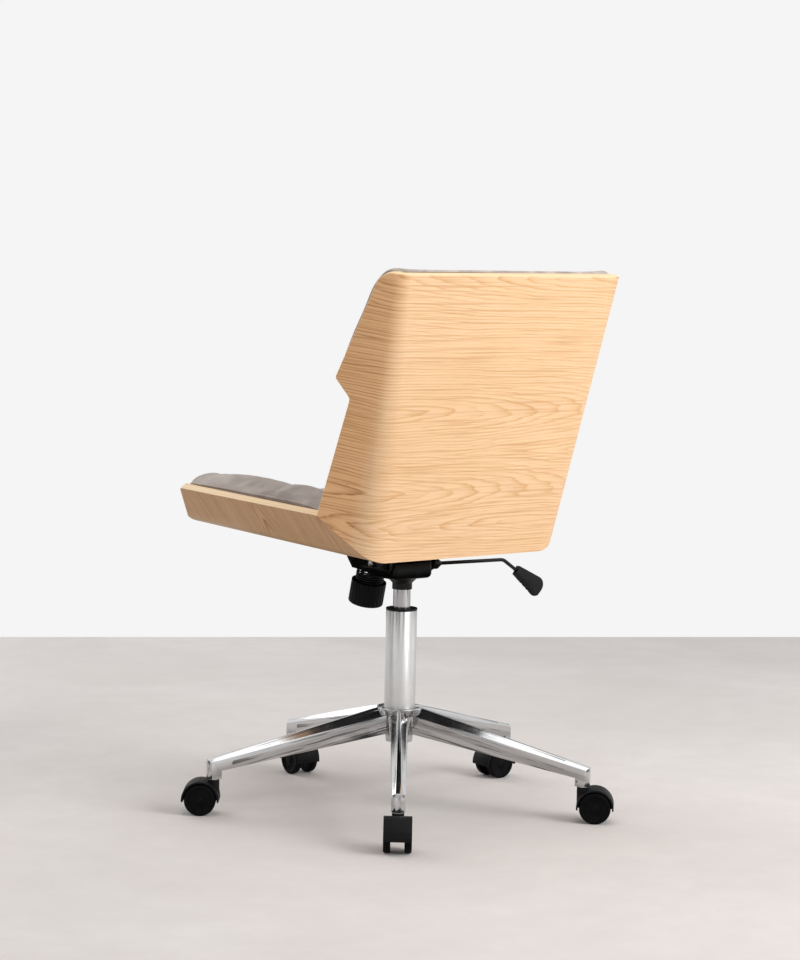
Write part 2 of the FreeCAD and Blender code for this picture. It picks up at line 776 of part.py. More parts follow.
ears = [box("ear_%s" % side, "13", "dim.ear", "dim.pan_drop - dim.lever_pivot_drop + 5",
            x="dim.lever_pivot - 6.5", y=low, z=PAN_BOTTOM + " + 1")
        for side, low in (("rear", EAR_NEAR), ("front", "-(%s) - dim.ear" % EAR_NEAR))]
socket = fuse(
    "socket",
    cylinder("socket_neck", "dim.socket_radius", "dim.socket_above + dim.socket_below",
             z=SOCKET_BOTTOM),
    cone("socket_flare", "dim.socket_radius", "dim.flare_radius", "dim.flare_height + 1",
         z=PAN_BOTTOM + " - dim.flare_height"),
)
bush_slot = fuse(
    "bush_slot",
    cylinder("bush_slot_round", "dim.lever_bush + 1.5", "12", x="-dim.pan_half_width - 6",
             z=LEVER_HEIGHT, along="x"),
    box("bush_slot_open", "12", "2 * dim.lever_bush + 3", "20", x="-dim.pan_half_width - 6",
        y="-dim.lever_bush - 1.5", z=LEVER_HEIGHT),
)
bolt_way = cylinder("bolt_way", "dim.lip_hole", "20")
bolt_way.Placement = on_knob_axis(LIP_HEIGHT - 8)
housing = cut(
    "housing", fuse("housing", pan, lip, *cheeks, *ears, socket),
    cone("socket_bore", "dim.cylinder_radius + 0.02", "dim.cylinder_radius - dim.cone_drop + 0.02",
         "dim.cone_length", z=CYLINDER_TOP + " - dim.cone_length"),
    cylinder("socket_way", "dim.cylinder_radius - dim.cone_drop", "12", z=CYLINDER_TOP + " - 1"),
    cylinder("socket_clear", "dim.cylinder_radius + 0.02", "3", z=SOCKET_BOTTOM + " - 2.5"),
    bush_slot,
    bolt_way,
    cylinder("pivot_way", "dim.pivot_radius", "4 * dim.pan_half_width", x="-2 * dim.pan_half_width",
             y="dim.pivot_back", z="dim.pivot_height", along="x"),
    cylinder("trunnion_way", "dim.trunnion + dim.running_gap", "60", x="dim.lever_pivot", y="-30",
             z=LEVER_HEIGHT, along="y"),
)
node(housing, "tilt_housing")

PIN_REACH = "dim.flange_half + 1.2"
pivot = fuse(
    "pivot",
    cylinder("pivot_shaft", "dim.pivot_radius", "2 * (%s) + 2" % PIN_REACH,
             x="-(%s) - 1" % PIN_REACH, y="dim.pivot_back", z="dim.pivot_height", along="x"),
    *[cylinder("pivot_head_%s" % side, "dim.pivot_head", "2.5", x=low, y="dim.pivot_back",
               z="dim.pivot_height", along="x")
      for side, low in (("left", PIN_REACH), ("right", "-(%s) - 2.5" % PIN_REACH))],
)
node(pivot, "tilt_pivot_pin")

bushes = []
for side, barrel, rim in (("left", "dim.flange_half - dim.steel", "dim.flange_half - dim.steel - 1"),
                          ("right", "-dim.flange_half - 0.5", "-dim.flange_half + dim.steel")):
    shell = fuse(
        "bush_" + side,
        cylinder("bush_barrel_" + side, "dim.bush_radius", "dim.steel + 0.5", x=barrel,
                 y="dim.pivot_back", z="dim.pivot_height", along="x"),
        cylinder("bush_rim_" + side, "dim.bush_rim", "1", x=rim, y="dim.pivot_back",
                 z="dim.pivot_height", along="x"),
    )
    bushes.append(cut("bush_" + side, shell,
                      cylinder("bush_bore_" + side, "dim.pivot_radius + dim.running_gap", "20",
                               x="%s - 8" % barrel, y="dim.pivot_back", z="dim.pivot_height",
                               along="x")))
node(group("pivot_bushes", bushes), "pivot_bushes")


# Seat bracket: a plate under the seat with two folded cheeks that hang on the pivot pin.

tilt = math.radians(size("tray_tilt"))


def tray_bottom(y):
    """Height of the seat's underside."""
    return size("pivot_height") + size("tray_rise") - math.tan(tilt) * y


TRAY_BOTTOM = "(dim.pivot_height + dim.tray_rise - tan(dim.tray_tilt) * (%s))"
flange_corners = [
    ("dim.pivot_back - 52.4", "dim.pivot_height - 11.8"),
    ("dim.pivot_back - 66", "dim.pivot_height + 4"),
    ("dim.pivot_back - 79", TRAY_BOTTOM % "dim.pivot_back - 79" + " - 1"),
    ("dim.pivot_back + 72", TRAY_BOTTOM % "dim.pivot_back + 72" + " - 1"),
    ("dim.pivot_back + 56", "dim.pivot_height + 9"),
    ("dim.pivot_back + 48", "dim.pivot_height - 9"),
    ("dim.pivot_back + 36", "dim.pivot_height - 16"),
]
flanges = [plate("flange_%s" % side, flange_corners, "dim.steel", start)
           for side, start in (("left", "dim.flange_half - dim.steel"), ("right", "-dim.flange_half"))]
top_plate = box("top_plate", "2 * dim.plate_half_width", "dim.plate_rear - dim.plate_front",
                "dim.steel")
top_plate.Placement = Placement(
    Vector(-size("plate_half_width"), size("plate_front"),
           tray_bottom(size("plate_front")) - size("steel") / math.cos(tilt)),
    Rotation(Vector(1, 0, 0), -size("tray_tilt")))
screw_places = [(x, y) for y in ("dim.screw_front", "dim.screw_rear")
                for x in ("dim.screw_across", "-dim.screw_across")]


def upright_at_tray(item, x, y, drop):
    """Stand a primitive square to the seat's underside, drop below it."""
    item.Placement = Placement(Vector(0, 0, 0), Rotation(Vector(1, 0, 0), -size("tray_tilt")))
    place(item, x, "%s - (%s) * sin(dim.tray_tilt)" % (y, drop),
          "%s - (%s) * cos(dim.tray_tilt)" % (TRAY_BOTTOM % y, drop))
    return item


plate_holes = []
tray_holes = []
screws = []
tee_nuts = []
for number, (x, y) in enumerate(screw_places):
    tag = str(number)
    plate_holes.append(upright_at_tray(
        cylinder("plate_hole_" + tag, "dim.screw_radius + 0.4", "20"), x, y, "12"))
    tray_holes.append(upright_at_tray(
        cylinder("tray_hole_" + tag, "dim.tee_barrel + dim.running_gap", "dim.ply + 4"), x, y, "2"))
    tray_holes.append(upright_at_tray(
        cylinder("tray_rebate_" + tag, "dim.tee_rim + 0.5", "6"), x, y,
        "-dim.ply + dim.tee_rim_height"))
    screws.append(fuse(
        "screw_" + tag,
        upright_at_tray(cylinder("screw_shank_" + tag, "dim.screw_radius",
                                 "dim.steel + dim.ply - 2"), x, y, "dim.steel"),
        upright_at_tray(cylinder("screw_head_" + tag, "dim.screw_head", "dim.screw_head_height"),
                        x, y, "dim.steel + dim.screw_head_height")))
    tee_nuts.append(cut(
        "tee_" + tag,
        fuse("tee_" + tag,
             upright_at_tray(cylinder("tee_barrel_" + tag, "dim.tee_barrel", "dim.ply - 1"), x, y, "-1"),
             upright_at_tray(cylinder("tee_rim_" + tag, "dim.tee_rim", "dim.tee_rim_height"), x, y,
                             "-dim.ply + dim.tee_rim_height")),
        upright_at_tray(cylinder("tee_bore_" + tag, "dim.screw_radius + dim.running_gap",
                                 "dim.ply + 4"), x, y, "2")))
lever_notch = fuse(
    "lever_notch",
    cylinder("lever_notch_round", "dim.lever_bush + 3", "12", x="-dim.flange_half - 4",
             z=LEVER_HEIGHT + " + 4", along="x"),
    box("lever_notch_open", "12", "2 * dim.lever_bush + 6", "40", x="-dim.flange_half - 4",
        y="-dim.lever_bush - 3", z=LEVER_HEIGHT + " - 36"),
)
window = box("flange_window", "20", "9", "12", x="dim.flange_half - 10", y="dim.pivot_back + 37",
             z="dim.pivot_height - 6")
bracket = cut(
    "bracket", fuse("bracket", top_plate, *flanges), *plate_holes, lever_notch, window,
    cylinder("bracket_pivot_way", "dim.bush_radius", "4 * dim.flange_half",
             x="-2 * dim.flange_half", y="dim.pivot_back", z="dim.pivot_height", along="x"),
)
node(bracket, "seat_bracket")
node(group("bracket_screws", screws), "bracket_screws")
node(group("tee_nuts", tee_nuts), "tee_nuts")

# Tension bolt, spring, cup and knob, all on one leaning axis.

bolt_end = size("knob_height") - size("knob_floor") + 5
bolt_reach = (tray_bottom(size("knob_axis_back")) - size("steel") - 6 - KNOB_TOP.z) / KNOB_AXIS.z
bolt_shaft = Part.makeCylinder(size("bolt_radius"), bolt_reach + bolt_end, Vector(0, 0, -bolt_end))
bolt_cap = Part.makeCylinder(size("bolt_head"), size("bolt_head_height") + 6,
                             Vector(0, 0, bolt_reach - size("bolt_head_height")))
bolt = doc.addObject("Part::Feature", "bolt_blank")
bolt.Shape = bolt_shaft.fuse(bolt_cap)
bolt.Placement = on_knob_axis(0)
bolt_trim = box("bolt_trim", "120", "120", "40")
bolt_trim.Placement = Placement(
    Vector(-60, size("knob_axis_back") - 60,
           tray_bottom(size("knob_axis_back") - 60) - size("steel") / math.cos(tilt)),
    Rotation(Vector(1, 0, 0), -size("tray_tilt")))
node(cut("bolt", bolt, bolt_trim), "tension_bolt")

CUP_TOP = -(size("knob_height") - size("knob_floor")) + size("cup_height") + size("slide_gap")
washer = cut("washer", cylinder("washer_disc", "dim.spring_mean + dim.spring_wire", "dim.washer_height"),
             cylinder("washer_hole", "dim.lip_hole", "10", z="-2"))
washer = copy_of("washer_placed", washer, on_knob_axis(size("spring_room")))
node(washer, "spring_washer")


def coil(mean, wire, bottom, top, turns):
    """A round wire wound in half turns from bottom to top."""
    low = bottom + wire
    rise = (top - wire - low) / turns
    steps = int(round(turns * 2))
    edges = []
    track = []
    for i in range(steps):
        points = []
        for part in (0.0, 0.5, 1.0):
            turn = (i + part) * math.pi
            points.append(Vector(mean * math.cos(turn), mean * math.sin(turn),
                                 low + rise * (i + part) / 2))
        edges.append(Part.Arc(*points).toShape())
        track += edges[-1].discretize(9)[:-1]
    gap = min(track[i].distanceToPoint(track[j]) for i in range(len(track))
              for j in range(i + 8, len(track))) - 2 * wire
    print("spring: %.1f turns of %.1f mm wire, least gap to itself %.2f mm" % (turns, 2 * wire, gap))
    path = Part.Wire(edges)
    start = path.Edges[0]
    ring = Part.Wire(Part.Circle(start.valueAt(start.FirstParameter),
                                 start.tangentAt(start.FirstParameter), wire).toShape())
    return path.makePipeShell([ring], True, False)


spring = doc.addObject("Part::Feature", "tension_spring_coil")
spring.Shape = coil(size("spring_mean"), size("spring_wire"), CUP_TOP, size("spring_room"),
                    size("spring_turns"))
spring.Placement = on_knob_axis(0)
node(spring, "tension_spring")

cup = cut("cup", cylinder("cup_disc", "dim.knob_bore - dim.slide_gap", "dim.cup_height"),
          cylinder("cup_hole", "dim.bolt_radius + dim.running_gap", "20", z="-8"))
node(copy_of("cup_placed", cup, on_knob_axis(CUP_TOP - size("cup_height"))), "spring_cup")

knob = new_body("knob")
knob_outline = new_sketch(knob, "knob_outline", "XY_Plane")
knob_outline.addGeometry(Part.Circle(Vector(0, 0, 0), Vector(0, 0, 1), size("knob_radius")), False)
knob_outline.addConstraint(Sketcher.Constraint("Coincident", 0, 3, -1, 1))
held = knob_outline.addConstraint(Sketcher.Constraint("Radius", 0, size("knob_radius")))
knob_outline.setExpression("Constraints[%d]" % held, "dim.knob_radius")
knob_pad = knob.newObject("PartDesign::Pad", "knob_pad")
knob_pad.Profile = knob_outline
bind(knob_pad, Length="dim.knob_height")
doc.recompute()
knob_edge = knob.newObject("PartDesign::Fillet", "knob_edge")
low_rim = ["Edge%d" % i for i, edge in enumerate(knob_pad.Shape.Edges, start=1)
           if isinstance(edge.Curve, Part.Circle) and edge.BoundBox.ZMax < 0.01]
knob_edge.Base = (knob_pad, low_rim)
knob_edge.Radius = 3.0
flute_sketch = new_sketch(knob, "flute_outline", "XY_Plane")
flute_sketch.setExpression("AttachmentOffset.Base.z", "dim.knob_height - 2.5")
flute_sketch.addGeometry(Part.Circle(Vector(size("knob_radius"), 0, 0), Vector(0, 0, 1), 2.0), False)
flute_sketch.addConstraint(Sketcher.Constraint("PointOnObject", 0, 3, -1))
held = flute_sketch.addConstraint(Sketcher.Constraint("DistanceX", -1, 1, 0, 3, size("knob_radius")))
flute_sketch.setExpression("Constraints[%d]" % held, "dim.knob_radius + dim.flute_radius - 0.8")
held = flute_sketch.addConstraint(Sketcher.Constraint("Radius", 0, size("flute_radius")))
flute_sketch.setExpression("Constraints[%d]" % held, "dim.flute_radius")
flute = knob.newObject("PartDesign::Pocket", "flute")
flute.Profile = flute_sketch
bind(flute, Length="dim.knob_height")
doc.recompute()
flutes = knob.newObject("PartDesign::PolarPattern", "flutes")
flutes.Originals = [flute]
flutes.Axis = (flute_sketch, ["N_Axis"])
flutes.Angle = 360
flutes.Occurrences = 24
knob.Tip = flutes
doc.recompute()
knob_room = fuse(
    "knob_room",
    cylinder("knob_bore", "dim.knob_bore", "dim.knob_height", z="dim.knob_floor"),
    cylinder("knob_thread", "dim.bolt_radius + dim.running_gap", "40", z="-2"),
)
knob_hollow = cut("knob", knob, knob_room)
node(copy_of("knob_placed", knob_hollow, on_knob_axis(-size("knob_height"))), "tension_knob")

# Lever: a bush that rocks in the pan, a bent rod that slides through it and a flat grip.

LEVER = Placement(Vector(size("lever_pivot"), 0, size("pivot_height") - size("lever_pivot_drop")),
                  Rotation(Vector(0, 1, 0), -size("lever_slope")))
lever_bush = fuse(
    "lever_bush",
    cylinder("lever_bush_barrel", "dim.lever_bush", "dim.lever_bush_length + 10",
             x="-dim.lever_bush_length", along="x"),
    cone("lever_bush_nose", "dim.lever_bush", "dim.lever_nose_radius", "dim.lever_nose",
         x="-dim.lever_bush_length", along="-x"),
    cylinder("lever_trunnions", "dim.trunnion", "2 * (%s + dim.ear)" % EAR_NEAR,
             y="-(%s) - dim.ear" % EAR_NEAR, along="y"),
)
lever_bush = cut("lever_bush", lever_bush,
                 cylinder("lever_bush_bore", "dim.lever_rod + dim.running_gap", "120", x="-80",
                          along="x"))
node(copy_of("lever_bush_placed", lever_bush, LEVER), "lever_bush")

rod_body = new_body("lever_rod")
path_sketch = new_sketch(rod_body, "lever_path", "XZ_Plane")
drop = math.radians(size("lever_drop"))
bend = size("lever_bend")
straight = size("lever_inner") + size("lever_straight")
turn_in = Vector(-straight, 0, 0)
turn_out = turn_in + Vector(-bend * math.sin(drop), -bend * (1 - math.cos(drop)), 0)
turn_mid = turn_in + Vector(-bend * math.sin(drop / 2), -bend * (1 - math.cos(drop / 2)), 0)
tail = turn_out + Vector(-math.cos(drop), -math.sin(drop), 0) * size("lever_tail")
path_sketch.addGeometry([Part.LineSegment(Vector(0, 0, 0), turn_in),
                         Part.Arc(turn_in, turn_mid, turn_out),
                         Part.LineSegment(turn_out, tail)], False)
ring_sketch = new_sketch(rod_body, "lever_ring", "YZ_Plane")
ring_sketch.addGeometry(Part.Circle(Vector(0, 0, 0), Vector(0, 0, 1), size("lever_rod")), False)
ring_sketch.addConstraint(Sketcher.Constraint("Coincident", 0, 3, -1, 1))
held = ring_sketch.addConstraint(Sketcher.Constraint("Radius", 0, size("lever_rod")))
ring_sketch.setExpression("Constraints[%d]" % held, "dim.lever_rod")
pipe = rod_body.newObject("PartDesign::AdditivePipe", "lever_pipe")
pipe.Profile = ring_sketch
pipe.Spine = path_sketch
rod_frame = LEVER.multiply(Placement(Vector(size("lever_inner"), 0, 0), Rotation()))
node(copy_of("lever_rod_placed", rod_body, rod_frame), "lever_rod")

grip_body = new_body("grip")
grip_sketch = new_sketch(grip_body, "grip_outline", "XY_Plane")
far = size("grip_length")
bevel = size("grip_bevel")
GRIP_ROOT_TOP = 8.4
GRIP_ROOT_LOW = -2.6
GRIP_SPREAD = 0.144
GRIP_END_DROP = 8.6
outline = rounded([
    (0, GRIP_ROOT_LOW - bevel, 0.8),
    (far - 4, GRIP_ROOT_LOW - GRIP_END_DROP - bevel, 6.0),
    (far - 1, -2.0, 12.0),
    (far, GRIP_ROOT_TOP + GRIP_SPREAD * far, 14.0),
    (0, GRIP_ROOT_TOP, 0.8)])
grip_sketch.addGeometry(outline, False)
grip_pad = grip_body.newObject("PartDesign::Pad", "grip_pad")
grip_pad.Profile = grip_sketch
bind(grip_pad, Length="dim.grip_thickness")
grip_direction = Vector(-math.cos(drop), 0, -math.sin(drop))
grip_across = Vector(-math.sin(drop), 0, math.cos(drop))
grip_frame = Placement(
    Vector(tail.x, 0, tail.y) - grip_direction * (size("lever_tail") - size("grip_start")),
    Rotation(grip_direction, grip_across, grip_direction.cross(grip_across), "ZXY"))
doc.recompute()
grip_soft = round_edges("grip", grip_body, 0.7, lambda edge: edge.BoundBox.ZLength < 0.01)
low_edge = Vector(far - 4, -GRIP_END_DROP, 0).normalize()
bevel_down = (Vector(low_edge.y, -low_edge.x, 0) + Vector(0, 0, -1)).normalize()
bevel_frame = Placement(
    Vector(0, GRIP_ROOT_LOW, size("grip_thickness")) - low_edge * 10 - bevel_down * 2,
    Rotation(low_edge, bevel_down, low_edge.cross(bevel_down), "ZXY"))
grip_bevel = box("grip_bevel", "dim.grip_length + 30", "dim.grip_bevel * 3", "12")
grip_bevel.Placement = bevel_frame.multiply(Placement(Vector(0, 0, -12), Rotation()))
finger_grooves = []
for reach in (27.0, 36.0, 45.0):
    groove = cylinder("grip_groove", "5.0", "dim.grip_thickness - 3")
    level = GRIP_ROOT_LOW - bevel - GRIP_END_DROP * reach / (far - 4)
    groove.Placement = Placement(Vector(reach, level - 4.2, -1), Rotation())
    finger_grooves.append(groove)
grip_bore = cylinder("grip_bore", "dim.lever_rod", "dim.lever_tail - dim.grip_start + 2", x="-2",
                     z="dim.grip_thickness / 2", along="x")
grip = cut("grip", grip_soft, grip_bevel, grip_bore, *finger_grooves)
grip_shift = Placement(Vector(0, 0, -size("grip_thickness") / 2), Rotation())
node(copy_of("grip_placed", grip, rod_frame.multiply(grip_frame).multiply(grip_shift)), "lever_grip")


# Shells: two bent sheets of ply, mitred where they meet under the sitter's back.

ply = size("ply")
lean_back = math.radians(size("back_recline"))
PANEL_OUT = Vector(0, math.cos(lean_back), -math.sin(lean_back))
PANEL_UP = Vector(0, math.sin(lean_back), math.cos(lean_back))
TRAY_OUT = Vector(0, -math.sin(tilt), -math.cos(tilt))
HEEL = Vector(0, size("back_foot"), tray_bottom(size("back_foot")))
flare = math.radians(size("wing_flare"))
bend_line = (PANEL_UP * size("back_height")
             + Vector(size("back_bend_top") - size("tray_bend"), 0, 0)).normalize()
WING_OUT = bend_line.cross(Vector(math.sin(flare), -math.cos(flare), 0)).normalize()


class Section:
    """A plane across a shell. across is its X, inward points from the sheet to the sitter."""

    def __init__(self, origin, inward):
        self.origin = origin
        self.inward = inward
        self.normal = Vector(1, 0, 0).cross(inward)

    def frame(self):
        return Placement(self.origin, Rotation(Vector(1, 0, 0), self.inward, self.normal, "ZXY"))

    def depth(self, out, thickness):
        """How far a sheet of that outward normal reaches within this plane."""
        flat = out - self.normal * out.dot(self.normal)
        return thickness / flat.Length

    def angle(self, out):
        """The slope in this plane of a sheet of that outward normal, from the inward direction."""
        line = out.cross(self.normal).normalize()
        if line.dot(self.inward) < 0:
            line = -line
        return math.atan2(line.x, line.dot(self.inward))

    def crossing(self, start, end):
        """Where the line through start and end meets this plane."""
        along = end - start
        share = (self.origin - start).dot(self.normal) / along.dot(self.normal)
        return start + along * share


mitre = math.radians(size("mitre_lean"))
mitre_section = Section(HEEL, Vector(0, -math.sin(mitre), math.cos(mitre)))


def back_section(up):
    """The plane square to the back panel, up its slope from the heel."""
    return Section(HEEL + PANEL_UP * up, -PANEL_OUT)


def part_way(first, last, share):
    return first + (last - first) * share


def bend_at(up):
    return part_way(size("tray_bend"), size("back_bend_top"), up / size("back_height"))


def offset_corner(corner, angle, middle, side):
    """Where the middle line, moved in by middle, meets the side line, moved in by side."""
    along = (middle - side * math.sin(angle)) / math.cos(angle)
    return corner - side * math.cos(angle) + math.sin(angle) * along, middle


def side_point(corner, angle, side, along):
    """A point on the side line moved in by side, along from the outer corner."""
    return (corner - side * math.cos(angle) + math.sin(angle) * along,
            side * math.sin(angle) + math.cos(angle) * along)


def mirrored_outline(half):
    """A closed outline from its right half, given as (x, y, radius) from the tip inwards."""
    outer, inner = half
    left_outer = [(-x, y, r) for x, y, r in reversed(outer)]
    left_inner = [(-x, y, r) for x, y, r in reversed(inner)]
    return outer + left_outer + [(x, y, r) for x, y, r in reversed(left_inner)] + [
        (x, y, r) for x, y, r in reversed(inner)]


def sheet_outline(corner, angle, length, middle, side, radius):
    """The outline of a bent sheet: middle and side are its depths in this plane."""
    outer = [(*side_point(corner, angle, 0, length), 0), (corner, 0, radius)]
    inner = [(*side_point(corner, angle, side, length), 0),
             (*offset_corner(corner, angle, middle, side), radius - ply)]
    return rounded(mirrored_outline((outer, inner)))


def add_loft(body, name, sketches):
    loft = body.newObject("PartDesign::AdditiveLoft", name)
    loft.Profile = sketches[0]
    loft.Sections = sketches[1:]
    loft.Ruled = True
    return loft


def drawn_sketch(body, name, section, edges):
    sketch = new_sketch(body, name, "XY_Plane", section.frame())
    sketch.addGeometry(edges, False)
    return sketch


rear_flare = math.radians(size("flare_rear"))
front_flare = math.radians(size("tray_flare"))
front_section = Section(Vector(0, -size("tray_front"), tray_bottom(-size("tray_front"))),
                        Vector(0, 0, 1))
TRAY_SIDE_OUT = Vector(math.cos(front_flare), 0, -math.sin(front_flare))
FRONT_CORNER = Vector(size("tray_bend"), -size("tray_front"), tray_bottom(-size("tray_front")))
HEEL_CORNER = HEEL + Vector(size("tray_bend"), 0, 0)

tray = new_body("tray")
tray_rear = drawn_sketch(tray, "tray_rear_outline", mitre_section, sheet_outline(
    size("tray_bend"), rear_flare, size("flange_rear"), mitre_section.depth(TRAY_OUT, ply),
    mitre_section.depth(TRAY_SIDE_OUT, ply), size("heel_radius")))
tray_front = drawn_sketch(tray, "tray_front_outline", front_section, sheet_outline(
    size("tray_bend"), front_flare, size("flange_front"), ply, ply, size("tray_radius")))
add_loft(tray, "tray_sheet", [tray_rear, tray_front])
flange_ahead = (FRONT_CORNER - HEEL_CORNER).normalize()
flange_out = flange_ahead.cross(Vector(math.sin(front_flare), 0, math.cos(front_flare))).normalize()
if flange_out.x < 0:
    flange_out = -flange_out
flange_up = flange_out.cross(flange_ahead)
if flange_up.z < 0:
    flange_up = -flange_up
flange_frame = Placement(FRONT_CORNER, Rotation(flange_ahead, flange_up, flange_ahead.cross(flange_up),
                                                "ZXY"))
nose = new_sketch(tray, "nose_outline", "XY_Plane", flange_frame)
nose_reach = size("tray_front") - size("tray_front_top")
nose_low = size("nose_low")
nose.addGeometry(rounded([
    (30, nose_low, 0), (0, nose_low, 0), (-nose_reach, size("flange_front") - 1.5, 5.0),
    (-nose_reach - 8, size("flange_front") + 3, 0), (-nose_reach, size("flange_front") + 40, 0),
    (30, size("flange_front") + 40, 0)]), False)
nose_cut = tray.newObject("PartDesign::Pocket", "nose_cut")
nose_cut.Profile = nose
nose_cut.Midplane = True
nose_cut.Length = 60.0
doc.recompute()
nose_cuts = tray.newObject("PartDesign::Mirrored", "nose_cuts")
nose_cuts.Originals = [nose_cut]
nose_cuts.MirrorPlane = (base_plane(tray, "YZ_Plane"), [""])
tray.Tip = nose_cuts
doc.recompute()

back = new_body("back")
back_low = drawn_sketch(back, "back_low_outline", mitre_section, sheet_outline(
    size("tray_bend"), rear_flare, size("flange_rear"), mitre_section.depth(PANEL_OUT, ply),
    mitre_section.depth(WING_OUT, ply), size("heel_radius")))
top_section = back_section(size("back_height"))
back_top = drawn_sketch(back, "back_top_outline", top_section, sheet_outline(
    size("back_bend_top"), top_section.angle(WING_OUT), size("wing_stock"), ply,
    top_section.depth(WING_OUT, ply), size("crest_radius")))
add_loft(back, "back_sheet", [back_low, back_top])

bend_foot = HEEL + Vector(size("tray_bend"), 0, 0)
WING_AHEAD = WING_OUT.cross(bend_line).normalize()
if WING_AHEAD.y > 0:
    WING_AHEAD = -WING_AHEAD
wing_frame = Placement(bend_foot, Rotation(WING_AHEAD, bend_line, WING_AHEAD.cross(bend_line), "ZXY"))
wing_rim = new_sketch(back, "wing_rim_outline", "XY_Plane", wing_frame)
beyond = size("wing_stock") + 40
wing_slope = (size("wing_tip") - size("wing_top")) / (size("back_height") - 25 - size("wing_tip_up"))
rim_top = size("wing_tip") - wing_slope * (size("back_height") + 1 - size("wing_tip_up"))
wing_edges = rounded([
    (size("wing_low") + 12, size("wing_low_up") - 36, 0),
    (size("wing_low"), size("wing_low_up"), 0),
    (size("wing_waist"), size("wing_waist_up"), 9.0),
    (size("wing_tip"), size("wing_tip_up"), 7.0),
    (rim_top, size("back_height") + 1, size("wing_shoulder")),
    (-60, size("back_height") + 1, 0), (-60, size("back_height") + 60, 0),
    (beyond, size("back_height") + 60, 0), (beyond, size("wing_low_up") - 36, 0)])
wing_rim.addGeometry(wing_edges, False)
wing_cut = back.newObject("PartDesign::Pocket", "wing_cut")
wing_cut.Profile = wing_rim
wing_cut.Midplane = True
wing_cut.Length = 160.0
doc.recompute()
wing_cuts = back.newObject("PartDesign::Mirrored", "wing_cuts")
wing_cuts.Originals = [wing_cut]
wing_cuts.MirrorPlane = (base_plane(back, "YZ_Plane"), [""])
back.Tip = wing_cuts
doc.recompute()

# Dowels across the mitre, in holes drilled square to it.
DOWEL_RADIUS = 3.0
DOWEL_LENGTH = 15.0
dowels = []
dowel_ways = []
dowel_line = mitre_section.depth(TRAY_OUT, ply) * 0.46
for number, x in enumerate((-140, -70, 0, 70, 140)):
    centre = HEEL + Vector(x, 0, 0) + mitre_section.inward * dowel_line
    turn = Rotation(Vector(0, 0, 1), mitre_section.normal)
    for items, radius in ((dowels, DOWEL_RADIUS), (dowel_ways, DOWEL_RADIUS + 0.02)):
        item = doc.addObject("Part::Cylinder", "dowel")
        item.Radius = radius
        item.Height = DOWEL_LENGTH
        item.Placement = Placement(centre - mitre_section.normal * (DOWEL_LENGTH / 2), turn)
        items.append(item)
node(cut("tray_drilled", cut("tray", tray, *tray_holes), *dowel_ways), "seat_shell")
node(cut("back_drilled", back, *dowel_ways), "back_shell")
node(group("mitre_dowels", dowels), "mitre_dowels")


# Boards and cushions: each cushion lines its shell, crowned in the middle, drawn in at its ends.

gap = size("pad_gap")


def pad_outline(section, corner, angle, length, radius, outs, fills, lift):
    """A cushion's section: it lies on the sheet, follows it up the sides and rolls over their edge.
    radius is the sheet's own bend. outs are the outward normals of its middle and side. fills
    are the shares of the full padding on the middle and the side. lift is how far the roll
    stands past the sheet's edge."""
    thick = [size("pad") * fills[0], size("pad") * size("pad_side_share") * fills[1]]
    low_middle = section.depth(outs[0], ply + gap)
    low_side = section.depth(outs[1], ply + gap)
    top_middle = section.depth(outs[0], ply + gap + thick[0])
    top_side = section.depth(outs[1], ply + gap + thick[1])
    crown = size("pad_crown") * fills[0]
    edge = min(size("pad_edge"), thick[1] * 0.42)
    outer = [(*side_point(corner, angle, low_side, length - size("pad_inset")), edge * 0.35),
             (*offset_corner(corner, angle, low_middle, low_side), radius - ply + 2)]
    bend_along = (top_middle - top_side * math.sin(angle)) / math.cos(angle)
    tip = max(length + lift * fills[1], bend_along + 5)
    inner = [(*side_point(corner, angle, top_side, tip), edge),
             (*offset_corner(corner, angle, top_middle, top_side), size("pad_valley")),
             (corner * 0.36, top_middle + crown, 160.0)]
    left = [(-x, y, r) for x, y, r in reversed(outer)]
    top = [(-x, y, r) for x, y, r in inner] + [(x, y, r) for x, y, r in reversed(inner)]
    return rounded(outer + left + top)


def pad_solid(stations):
    wires = [in_frame(pad_outline(section, *values), section.frame()) for section, values in stations]
    return Part.makeLoft(wires, True, True)


FLANGE_EDGE_FRONT = FRONT_CORNER + Vector(math.sin(front_flare), 0, math.cos(front_flare)) * size(
    "flange_front")
FLANGE_EDGE_REAR = HEEL_CORNER + Vector(math.sin(rear_flare), 0, 0) * size("flange_rear") + (
    mitre_section.inward * (math.cos(rear_flare) * size("flange_rear")))


def tray_station(y, slant, *fills):
    """A section of the seat cushion, slanted back from upright."""
    slope = math.radians(slant)
    section = Section(Vector(0, y, tray_bottom(y)), Vector(0, math.sin(slope), math.cos(slope)))
    corner = section.crossing(FRONT_CORNER, HEEL_CORNER)
    edge = section.crossing(FLANGE_EDGE_FRONT, FLANGE_EDGE_REAR)
    share = (FRONT_CORNER - corner).dot(flange_ahead) / (FRONT_CORNER - HEEL_CORNER).Length
    radius = part_way(size("tray_radius"), size("heel_radius"), share)
    return section, (corner.x, section.angle(TRAY_SIDE_OUT), (edge - corner).Length, radius,
                     (TRAY_OUT, TRAY_SIDE_OUT), fills, size("seat_roll"))


def mitre_station(back_from_mitre, out, side_out, lift, *fills):
    """A cushion's end beside the mitre, set back from it by a small gap."""
    section = Section(HEEL + mitre_section.normal * back_from_mitre, mitre_section.inward)
    return section, (size("tray_bend"), rear_flare, size("flange_rear"), size("heel_radius"),
                     (out, side_out), fills, lift)


